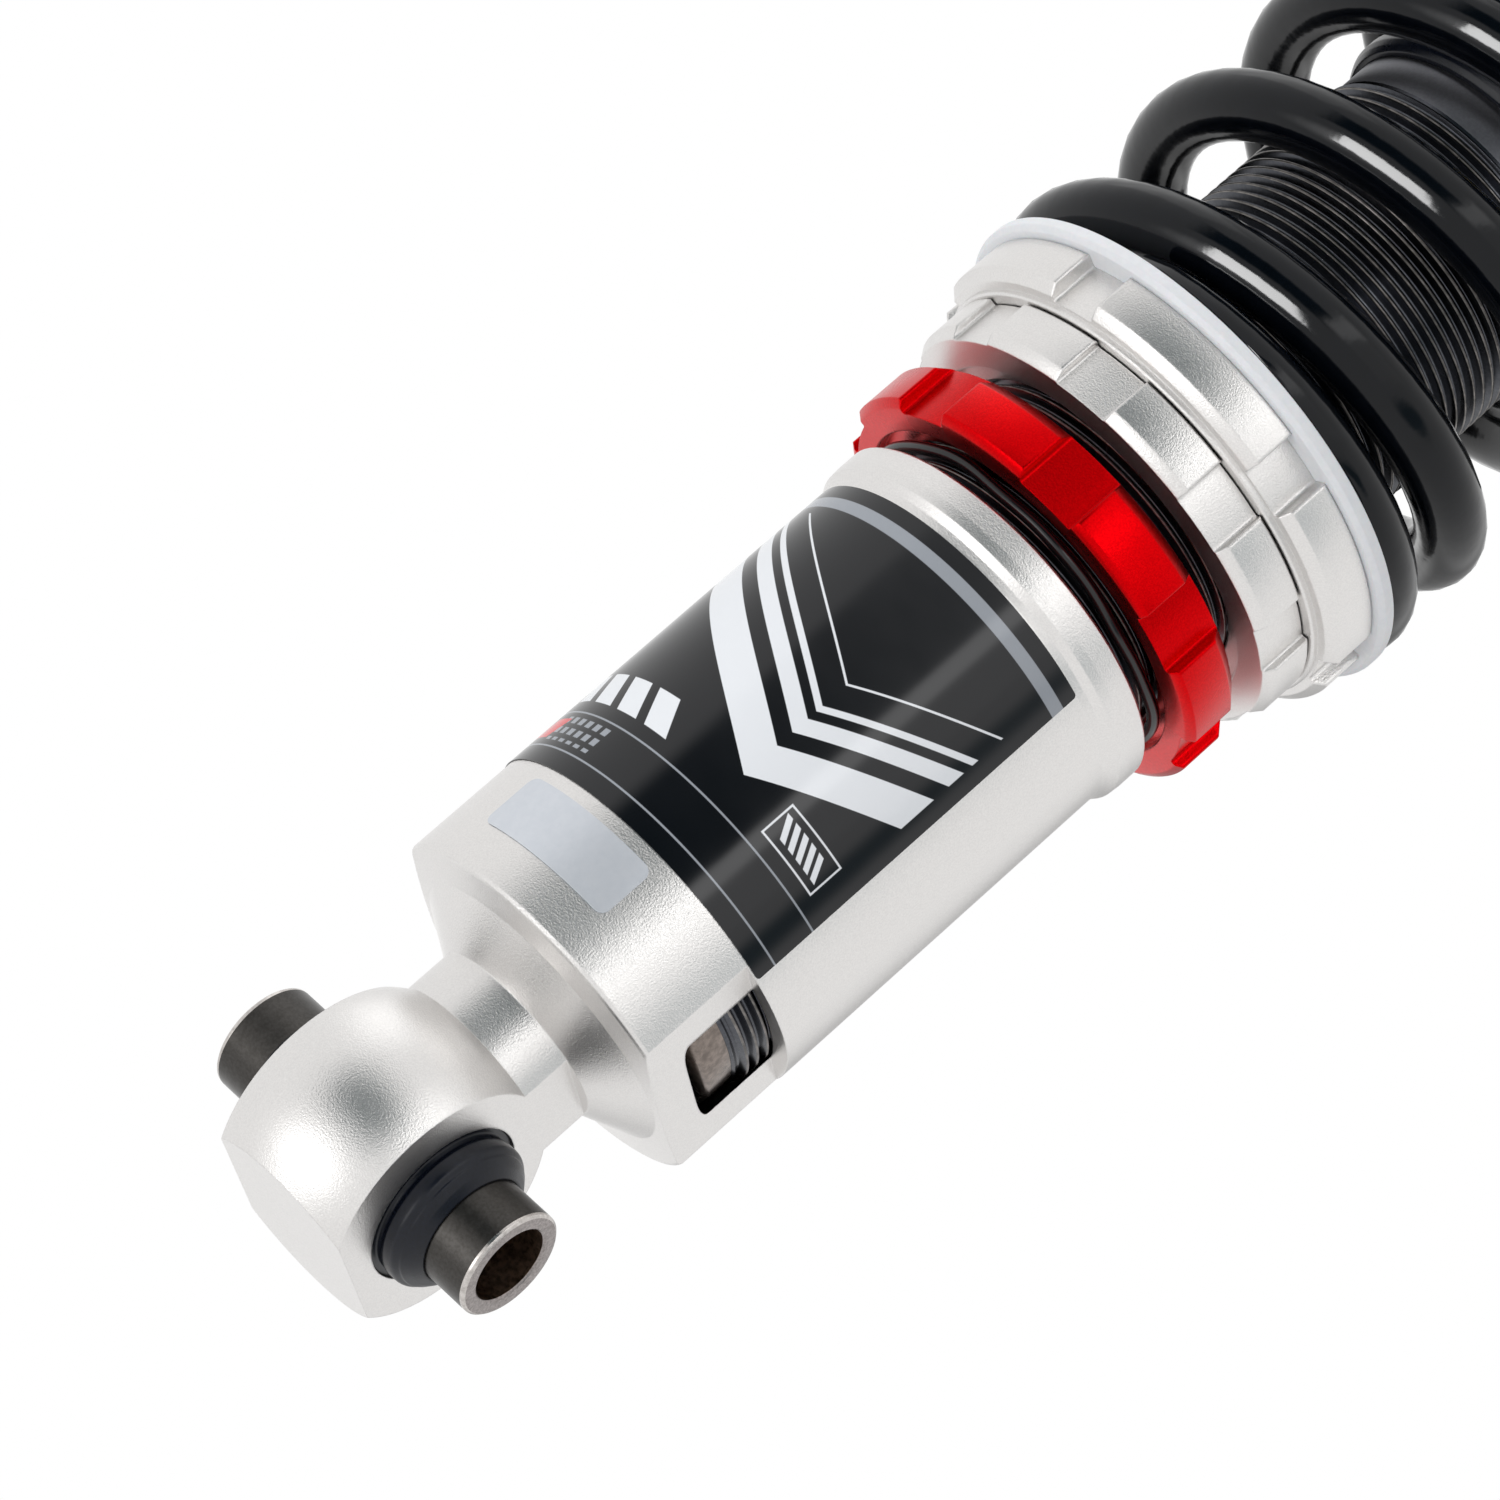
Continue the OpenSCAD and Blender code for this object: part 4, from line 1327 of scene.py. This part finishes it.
@dataclass
class Collars:
    """Lock ring with its seal, lock collar, spring perch and nylon washer.

    Attributes:
        bore: Bore radius of the threaded pieces.
        ring_low: Lower face of the lock ring.
        ring_high: Upper face of the lock ring.
        ring_radius: Outer radius of the lock ring.
        collar_low: Lower face of the lock collar.
        collar_high: Upper face of the lock collar.
        collar_radius: Outer radius of the lock collar.
        perch_low: Lower face of the perch.
        perch_high: Upper face of the perch's flange.
        perch_radius: Radius of the perch.
        hub: Radius of the perch's hub.
        washer_high: Upper face of the washer.
        washer_radius: Radius of the washer.
        cord_radius: Radius of the seal's rubber cord.
        cord_ring: Mean radius of the ring that the cord makes.
        cord_height: Mean height of the cord.
        slack_up: Size in millimetres, count and phase of the cord's waves up and down.
        slack_out: The same of its waves in and out.
    """

    bore: float = 26.55
    ring_low: float = 127.0
    ring_high: float = 137.5
    ring_radius: float = 36.0
    collar_low: float = 141.7
    collar_high: float = 150.3
    collar_radius: float = 37.5
    perch_low: float = 150.5
    perch_high: float = 160.0
    perch_radius: float = 41.2
    hub: float = 30.6
    washer_high: float = 162.7
    washer_radius: float = 43.1
    cord_radius: float = 1.03
    cord_ring: float = 28.2
    cord_height: float = 126.02
    slack_up: tuple[Triple, ...] = ((0.42, 3, 0.6), (0.2, 7, 1.9), (0.08, 13, 0.0))
    slack_out: tuple[Triple, ...] = ((0.35, 5, 0.4), (0.18, 9, 0.0))

    def build(self) -> None:
        """Builds the four pieces and the seal."""
        self.seal()
        self.ring()
        self.collar()
        self.perch()
        self.washer()

    def seal(self) -> None:
        """Lays the rubber cord round the thread, a little wavy as it sits slack under the ring."""
        vertices: list[Triple] = []
        faces: list[list[int]] = []
        steps, sides, r = 288, 16, self.cord_radius
        for i in range(steps):
            a = 2 * math.pi * i / steps
            wave = sum(size * math.sin(count * a + phase) for size, count, phase in self.slack_up)
            out = self.cord_ring
            for size, count, phase in self.slack_out:
                out += size * math.sin(count * a + phase)
            for k in range(sides):
                b = 2 * math.pi * k / sides
                reach = out + r * math.cos(b)
                height = self.cord_height + wave + r * math.sin(b)
                vertices.append((reach * math.cos(a), reach * math.sin(a), height))
        for i in range(steps):
            j = (i + 1) % steps
            for k in range(sides):
                m = (k + 1) % sides
                faces.append([i * sides + k, j * sides + k, j * sides + m, i * sides + m])
        piece = make_piece("thread_seal_cord", vertices, faces, [CORD_RUBBER.make()], "thread_seal", 80)
        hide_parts("sealing_ring")

    def ring(self) -> None:
        """Mills the red lock ring with eight notches."""
        low, high, r = self.ring_low, self.ring_high, self.ring_radius
        levels = [
            (low, r - 1.5),
            (low + 0.08, r - 1.2),
            (low + 0.85, r - 0.1),
            (low + 1.0, r),
            (high - 2.35, r),
            (high - 2.1, r - 0.12),
            (high - 0.12, r - 1.9),
            (high, r - 2.12),
        ]
        shape = Castellation(
            radius=r,
            floor=33.8,
            count=8,
            width=17.3,
            first=-73.5,
            corner=0.5,
            bore=self.bore,
            levels=levels,
            recess=30.3,
            recess_depth=1.9,
        ).mesh()
        piece = make_piece("red_lock_ring", *shape, [RED_ALLOY.make()], "ring", 30)
        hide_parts("lock_ring")

    def collar(self) -> None:
        """Mills the lock collar with nine shallow notches."""
        low, high, r = self.collar_low, self.collar_high, self.collar_radius
        levels = [
            (low, r - 1.3),
            (low + 0.1, r - 1.15),
            (low + 1.65, r - 0.05),
            (low + 1.8, r),
            (high - 0.4, r),
            (high, r - 0.4),
        ]
        shape = Castellation(
            radius=r,
            floor=36.0,
            count=9,
            width=15.5,
            first=-86.0,
            corner=0.45,
            bore=self.bore,
            levels=levels,
            recess=30.8,
            recess_depth=2.1,
        ).mesh()
        piece = make_piece("blasted_lock_collar", *shape, [SATIN_ALLOY.make()], "collar", 30)
        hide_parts("lock_collar")

    def perch(self) -> None:
        """Mills the perch: a short foot, six notches, a flange and a hub for the spring."""
        low, high, r, hub = self.perch_low, self.perch_high, self.perch_radius, self.hub
        levels = [
            (low, r - 3.5),
            (low + 0.25, r - 3.2),
            (low + 1.1, r - 3.2),
            (low + 1.1, r - 1.75),
            (low + 2.5, r - 0.08),
            (low + 2.7, r),
            (high - 0.35, r),
            (high, r - 0.35),
            (high, hub + 0.4),
            (high + 0.4, hub),
            (high + 6.8, hub),
            (high + 7.7, hub - 0.9),
        ]
        shape = Castellation(
            radius=r,
            floor=38.5,
            count=6,
            width=12.3,
            first=-43.0,
            corner=0.5,
            bore=self.bore,
            levels=levels,
        ).mesh()
        piece = make_piece("blasted_spring_perch", *shape, [SATIN_ALLOY.make()], "perch", 30)
        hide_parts("spring_perch")

    def washer(self) -> None:
        """Moulds the nylon washer with rounded rims."""
        low, high, r = self.perch_high, self.washer_high, self.washer_radius
        inner = self.hub + 0.3
        profile = rounded(
            [
                (inner, low, 0.2),
                (r - 0.8, low, 0.3),
                (r, low + 0.8, 0.5),
                (r, high - 0.2, 0.35),
                (r - 0.6, high, 0.4),
                (inner, high, 0.3),
            ]
        )
        piece = make_piece("nylon_washer", *turned(profile, 192), [NYLON.make()], "washer", 50)
        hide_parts("spring_washer")


# ------------------------------------------------------------------------------- spring


@dataclass
class Coil:
    """Round-wire compression spring with closed and ground ends.

    Attributes:
        wire: Wire radius.
        mean: Mean radius of the coils.
        length: Length between the ground ends.
        pitch: Pitch of the active coils.
        tip: Thickness of the ground tip.
        first: Azimuth of the lower tip.
        low: Height of the lower ground face.
        closed: Angle of the closed part of each end.
        lead: Angle of the lead into the full pitch.
        lift: Height of the wire over the ground face where the closed end is done.
        steps: Segments along the wire.
        sides: Segments round the wire.
        end_share: Radius of the wire's two end rings, as a share of the wire's.
    """

    wire: float = 5.5
    mean: float = 37.5
    length: float = 180.0
    pitch: float = 27.4
    tip: float = 4.0
    first: float = -98.0
    low: float = 162.7
    closed: float = 293.0
    lead: float = 30.0
    lift: float = 0.7
    steps: int = 400
    sides: int = 28
    end_share: float = 0.9

    @property
    def middle(self) -> float:
        """Height of the wire's centre where the closed end is done."""
        return self.wire + self.lift

    @property
    def turns(self) -> float:
        """Whole angle of the wire, in degrees."""
        return 2 * (self.closed + self.lead / 2 + (self.length / 2 - self.middle) * 360 / self.pitch)

    def end_height(self, a: float) -> float:
        """Finds the height of the wire's centre near one end.

        Args:
            a: Angle past the tip, in degrees.

        Returns:
            Height over the ground face.
        """
        if a < self.closed:
            return self.middle - (self.middle - self.tip + self.wire) * (1 - a / self.closed) ** 2
        if a < self.closed + self.lead:
            return self.middle + self.pitch / 360 * (a - self.closed) ** 2 / (2 * self.lead)
        return self.middle + self.pitch / 360 * (a - self.closed - self.lead / 2)

    def height(self, a: float) -> float:
        """Finds the height of the wire's centre.

        Args:
            a: Angle past the lower tip, in degrees.

        Returns:
            Height over the lower ground face.
        """
        whole = self.turns
        return self.end_height(a) if a < whole / 2 else self.length - self.end_height(whole - a)

    def build(self) -> None:
        """Winds the spring and grinds its ends flat."""
        steps, sides, whole = self.steps, self.sides, self.turns
        vertices: list[Triple] = []
        faces: list[list[int]] = []
        for i in range(steps + 1):
            a = whole * i / steps
            b = math.radians(self.first + a)
            nip = min(a, whole - a) / whole * steps
            shrink = 1.0 if nip > 1 else self.end_share + (1 - self.end_share) * nip
            for k in range(sides):
                f = 2 * math.pi * k / sides
                r = self.mean + self.wire * shrink * math.cos(f)
                h = self.height(a) + self.wire * shrink * math.sin(f)
                h = min(self.length, max(0.0, h))
                vertices.append((r * math.cos(b), r * math.sin(b), self.low + h))
        for i in range(steps):
            for k in range(sides):
                m = (k + 1) % sides
                faces.append([i * sides + k, i * sides + m, (i + 1) * sides + m, (i + 1) * sides + k])
        faces.append(list(range(sides))[::-1])
        faces.append([steps * sides + k for k in range(sides)])
        piece = make_piece("coil_spring", vertices, faces, [GLOSS_PAINT.make()], "coil", 40)
        # It comes off the one body that it was put on, and its place goes into its mesh
        piece.parent = None
        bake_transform(piece)
        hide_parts("spring")


# ------------------------------------------------------------------ inner pieces, top mount


@dataclass
class InnerPieces:
    """Cartridge, rod, piston stack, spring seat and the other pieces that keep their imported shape.

    Attributes:
        finishes: Finish of each node.
    """

    finishes: dict[str, Finish] = field(
        default_factory=lambda: {
            "cartridge_tube": STEEL,
            "base_plug": STEEL,
            "floating_piston": TURNED_ALLOY,
            "floating_piston_seal": RUBBER,
            "rod_guide": STEEL,
            "rod_seal": RUBBER,
            "piston_rod": CHROME,
            "piston": STEEL,
            "piston_band": SLIDE_BAND,
            "compression_shims": SHIM_STEEL,
            "rebound_shims": SHIM_STEEL,
            "piston_nut": STEEL,
            "rebound_bumper": RUBBER,
            "bump_stop": FOAM,
            "upper_isolator": RUBBER,
            "upper_spring_seat": SATIN_ALLOY,
            "spacer": ZINC,
            "bearing_ball": BEARING,
            "top_washer": ZINC,
            "top_nut": ZINC,
            "adjuster_needle": BRASS,
        }
    )

    def build(self) -> None:
        """Dresses each node."""
        for name, finish in self.finishes.items():
            dress_node(name, finish)


@dataclass
class TopMount:
    """Pillow-ball plate with its studs and the damping knob.

    Attributes:
        plate_low: Height of the plate flange's underside.
        plate_high: Height of its upper face.
        stud_circle: Radius of the circle that the studs stand on.
        stud_count: Number of studs.
        stud_crest: Crest radius of a stud's thread.
        stud_root: Root radius of that thread.
        stud_pitch: Pitch of that thread.
        stud_end: Height of a stud's end.
        stud_steps: Segments round a stud.
        shank: Radius of the shank in the plate.
        head: Radius of the head under the plate.
        head_low: Height of the head's underside.
    """

    plate_low: float = 363.0
    plate_high: float = 370.0
    stud_circle: float = 40.0
    stud_count: int = 3
    stud_crest: float = 4.0
    stud_root: float = 3.3
    stud_pitch: float = 1.25
    stud_end: float = 395.0
    stud_steps: int = 48
    shank: float = 4.35
    head: float = 6.4
    head_low: float = 360.0

    def build(self) -> None:
        """Dresses the mount's nodes and rolls its studs."""
        dress_node("top_plate", SATIN_ALLOY)
        dress_node("bearing_race", BEARING)
        dress_node("retaining_ring", SHIM_STEEL)
        dress_node("damping_knob", BLUE_ALLOY)
        self.studs()

    def studs(self) -> None:
        """Rolls the press-in studs: a low head, a shank in the plate and a thread with a chamfered end."""
        low, high, end, root = self.plate_low, self.plate_high, self.stud_end, self.stud_root
        foot = rounded(
            [
                (0.0, self.head_low),
                (self.head, self.head_low, 0.4),
                (self.head, low, 0.3),
                (self.shank, low),
                (self.shank, high, 0.2),
                (0.0, high),
            ]
        )
        steps, under, cap = self.stud_steps, 0.1, 0.4
        stud = joined(
            turned(foot, steps),
            helix_skin(self.stud_crest, self.stud_crest - root, self.stud_pitch, high - under, end, steps),
            turned([(0.0, end - cap), (root, end - cap), (root, end), (0.0, end)], steps),
        )
        copies = []
        for k in range(self.stud_count):
            a = math.radians(90 + k * 360 / self.stud_count)
            x0, y0 = self.stud_circle * math.cos(a), self.stud_circle * math.sin(a)
            copies.append(([(x + x0, y + y0, z) for x, y, z in stud[0]], stud[1]))
        piece = make_piece("rolled_studs", *joined(*copies), [YELLOW_ZINC.make()], "mount", 40)
        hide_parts("mount_studs")


# ------------------------------------------------------------------------------- studio


@dataclass(frozen=True)
class Panel:
    """Softbox or flag far away in the studio, as glossy surfaces see it.

    Attributes:
        azimuth: Direction of its middle round the vertical, in degrees.
        elevation: Direction of its middle above the horizon, in degrees.
        width: Half width, in degrees.
        height: Half height, in degrees.
        level: Brightness, where 1 is the white surround.
        soft: Share of its size over which its edge fades.
        square: Whether it has corners.
        colour: Colour of its light, sRGB hex.
    """

    azimuth: float
    elevation: float
    width: float
    height: float
    level: float
    soft: float = 0.2
    square: bool = True
    colour: str = "#FFFFFF"

    def paint(
        self, tree: bpy.types.NodeTree, way: bpy.types.NodeSocket, under: object
    ) -> bpy.types.NodeSocket:
        """Adds the panel over what is behind it.

        Args:
            tree: The world's node tree.
            way: Direction of the ray.
            under: Light without the panel.

        Returns:
            Light with the panel.
        """
        a, e = math.radians(self.azimuth), math.radians(self.elevation)
        middle = (math.cos(a) * math.cos(e), math.sin(a) * math.cos(e), math.sin(e))
        side = (-math.sin(a), math.cos(a), 0.0)
        up = (-math.cos(a) * math.sin(e), -math.sin(a) * math.sin(e), math.cos(e))

        # Place of the ray on the panel, in half widths and half heights from the middle, and what
        # part of it points ahead
        sizes = (math.sin(math.radians(self.width)), math.sin(math.radians(self.height)), 1.0)
        x, y, ahead = (
            put(
                tree, "ShaderNodeVectorMath", {0: way, 1: Vector(axis) / size}, operation="DOT_PRODUCT"
            ).outputs["Value"]
            for axis, size in zip((side, up, middle), sizes)
        )
        if self.square:
            sides = [put(tree, "ShaderNodeMath", {0: reach}, operation="ABSOLUTE") for reach in (x, y)]
            ends = {0: sides[0].outputs[0], 1: sides[1].outputs[0]}
            off = put(tree, "ShaderNodeMath", ends, operation="MAXIMUM").outputs[0]
        else:
            flat = put(tree, "ShaderNodeCombineXYZ", {0: x, 1: y}).outputs[0]
            off = put(tree, "ShaderNodeVectorMath", {0: flat}, operation="LENGTH").outputs["Value"]
        fade = {"From Min": 1 - self.soft, "From Max": 1 + self.soft, "To Min": 1.0, "To Max": 0.0}
        mask = put(
            tree, "ShaderNodeMapRange", {"Value": off, **fade}, interpolation_type="SMOOTHSTEP"
        ).outputs["Result"]
        # The panel lies ahead only, not also on the far side of the room
        facing = put(tree, "ShaderNodeMath", {0: ahead, 1: 0.0}, operation="GREATER_THAN").outputs[0]
        mask = put(tree, "ShaderNodeMath", {0: mask, 1: facing}, operation="MULTIPLY").outputs[0]
        light = tuple(self.level * c for c in linear(self.colour)[:3]) + (1.0,)
        return put(
            tree, "ShaderNodeMix", {"Factor": mask, 6: under, 7: light}, data_type="RGBA", clamp_factor=True
        ).outputs[2]


@dataclass
class Studio:
    """Pale floor, white surround, soft lamps and the camera.

    Attributes:
        floor_height: Height of the floor, in metres.
        floor_half: Half of its side, in metres.
        floor_tones: The two tones of the floor, sRGB hex.
        fade_start: Distance from the middle at which the floor starts to fade to white, in metres.
        fade_end: Distance at which it is white.
        surround: Strength of the surround as it lights matte surfaces.
        room_level: Brightness of the room between its panels.
        lens: Focal length of the camera in millimetres.
        sensor: Width of its sensor in millimetres.
        clip: Distance in metres from which it sees.
        place: Where it stands, in metres.
        turn: Its turn with its roll, as a matrix.
        panels: Softboxes and flags, each over the ones before it.
    """

    floor_height: float = -0.16
    floor_half: float = 6.0
    floor_tones: tuple[str, str] = ("#F4F4F4", "#EFEFF0")
    fade_start: float = 0.1
    fade_end: float = 0.42
    surround: float = 0.72
    room_level: float = 0.98
    lens: float = 128.4
    sensor: float = 36.0
    clip: float = 0.01
    place: Triple = (0.3544, -0.6606, -0.1454)
    turn: tuple[Triple, ...] = (
        (0.68070, -0.56810, 0.46240),
        (0.12800, -0.52910, -0.83840),
        (0.72100, 0.63000, -0.28750),
    )
    panels: tuple[Panel, ...] = (
        Panel(-89, 3, 30, 16, 0.08, 0.2, True, "#9FDCEC"),
        Panel(-8, 2, 9, 21, 0.3, 0.35, False, "#C8E8F2"),
        Panel(97, 8, 13, 26, 0.45, 0.4, False),
        Panel(120, 7, 10, 10, 1.25, 0.3, False),
        Panel(-43, 20, 16, 26, 1.1, 0.14),
        Panel(-54, 20, 5, 26, 2.5, 0.3),
        Panel(-160, 44, 22, 12, 1.45, 0.2),
        Panel(-108, -50, 19, 14, 2.9, 0.6, False),
    )

    def build(self) -> None:
        """Sets up the whole studio."""
        scene = bpy.context.scene
        scene.view_settings.view_transform = "Standard"
        self.floor()
        self.world()
        self.lamps()
        self.camera()

    def floor(self) -> None:
        """Lays a wide pale floor, which fades to white away from the object and its shadow."""
        material = bpy.data.materials.new("pale_studio_floor")
        tree = bare_tree(material)
        place = put(tree, "ShaderNodeTexCoord").outputs["Object"]
        noise = put(tree, "ShaderNodeTexNoise", {"Vector": place, "Scale": 6.0, "Detail": 3.0}).outputs["Fac"]
        first, second = (linear(tone) for tone in self.floor_tones)
        tone = put(tree, "ShaderNodeMix", {"Factor": noise, 6: first, 7: second}, data_type="RGBA").outputs[2]
        surface = put(tree, "ShaderNodeBsdfPrincipled", {"Base Color": tone, "Roughness": 0.8})
        away = put(tree, "ShaderNodeVectorMath", {0: place}, operation="LENGTH").outputs["Value"]
        fade = put(
            tree,
            "ShaderNodeMapRange",
            {"Value": away, "From Min": self.fade_start, "From Max": self.fade_end},
            interpolation_type="SMOOTHSTEP",
        ).outputs["Result"]
        # It fades to the camera alone, so its light on the object stays even
        seen = put(tree, "ShaderNodeLightPath").outputs["Is Camera Ray"]
        fade = put(tree, "ShaderNodeMath", {0: fade, 1: seen}, operation="MULTIPLY").outputs[0]
        white = put(tree, "ShaderNodeEmission", {"Strength": 1.0})
        blend = put(tree, "ShaderNodeMixShader", {0: fade, 1: surface.outputs[0], 2: white.outputs[0]})
        put(tree, "ShaderNodeOutputMaterial", {"Surface": blend.outputs[0]})
        half, z = self.floor_half, self.floor_height
        corners = [(-half, -half, z), (half, -half, z), (half, half, z), (-half, half, z)]
        mesh = bpy.data.meshes.new("studio_floor")
        mesh.from_pydata(corners, [], [(0, 1, 2, 3)])
        mesh.materials.append(material)
        plane = add_object("studio_floor", mesh)
        plane.visible_glossy = False

    def world(self) -> None:
        """Makes the surround: white to the camera, panels to reflections and even light elsewhere."""
        world = bpy.data.worlds.new("studio_surround")
        bpy.context.scene.world = world
        world.cycles.sampling_method = "NONE"
        tree = bare_tree(world)
        path = put(tree, "ShaderNodeLightPath")
        way = put(tree, "ShaderNodeTexCoord").outputs["Generated"]
        level: object = (self.room_level, self.room_level, self.room_level, 1.0)
        for panel in self.panels:
            level = panel.paint(tree, way, level)
        room = put(tree, "ShaderNodeBackground", {"Color": level, "Strength": 1.0})
        white = put(tree, "ShaderNodeBackground", {"Color": WHITE, "Strength": 1.0})
        light = put(tree, "ShaderNodeBackground", {"Color": WHITE, "Strength": self.surround})
        for ray, shown in (("Is Glossy Ray", room), ("Is Transmission Ray", white), ("Is Camera Ray", white)):
            ends = {0: path.outputs[ray], 1: light.outputs[0], 2: shown.outputs[0]}
            light = put(tree, "ShaderNodeMixShader", ends)
        put(tree, "ShaderNodeOutputWorld", {"Surface": light.outputs[0]})

    def lamp(self, name: str, place: Triple, target: Triple, size: Point, power: float) -> bpy.types.Object:
        """Hangs one soft lamp.

        Args:
            name: Name of the lamp.
            place: Where it hangs, in metres.
            target: Point that it faces, in metres.
            size: Width and height, in metres.
            power: Power in watts.

        Returns:
            The lamp, hidden from the camera and from reflections.
        """
        data = bpy.data.lights.new(name, "AREA")
        data.shape = "RECTANGLE"
        data.size, data.size_y = size
        data.energy = power
        lamp = add_object(name, data)
        lamp.location = place
        lamp.visible_camera = False
        lamp.visible_glossy = False
        lamp.rotation_euler = (Vector(target) - Vector(place)).to_track_quat("-Z", "Y").to_euler()
        return lamp

    def lamps(self) -> None:
        """Hangs the softboxes that light matte surfaces; the room's panels are what gloss shows."""
        self.lamp("front_softbox", (0.03, -0.30, -0.10), (0.0, 0.0, 0.08), (0.25, 0.2), 0.5)
        self.lamp("overhead_softbox", (-0.60, -0.40, 0.75), (0.0, 0.0, 0.12), (0.7, 0.5), 3.0)
        strip = self.lamp("spring_softbox", (0.03, -0.85, -0.65), (0.0, 0.0, 0.2), (0.8, 0.62), 44.0)
        strip.visible_glossy = True
        linked = bpy.data.collections.new("spring_softbox_receivers")
        linked.objects.link(bpy.data.objects["coil_spring"])
        strip.light_linking.receiver_collection = linked

    def camera(self) -> None:
        """Places the camera with its roll."""
        data = bpy.data.cameras.new("camera")
        data.lens = self.lens
        data.sensor_width = self.sensor
        data.clip_start = self.clip
        camera = add_object("camera", data)
        turn = Matrix(self.turn).to_quaternion().to_matrix().to_4x4()
        camera.matrix_world = Matrix.Translation(self.place) @ turn
        bpy.context.scene.camera = camera


def main() -> None:
    """Builds every sub-assembly in order."""
    logging.basicConfig(level=logging.INFO, format="%(name)s: %(message)s")
    for kind in (LowerBracket, Films, ThreadedBody, Collars, Coil, InnerPieces, TopMount, Studio):
        part = kind()
        part.build()
        LOG.info("built %s", type(part).__name__)


if __name__ == "__main__":
    main()
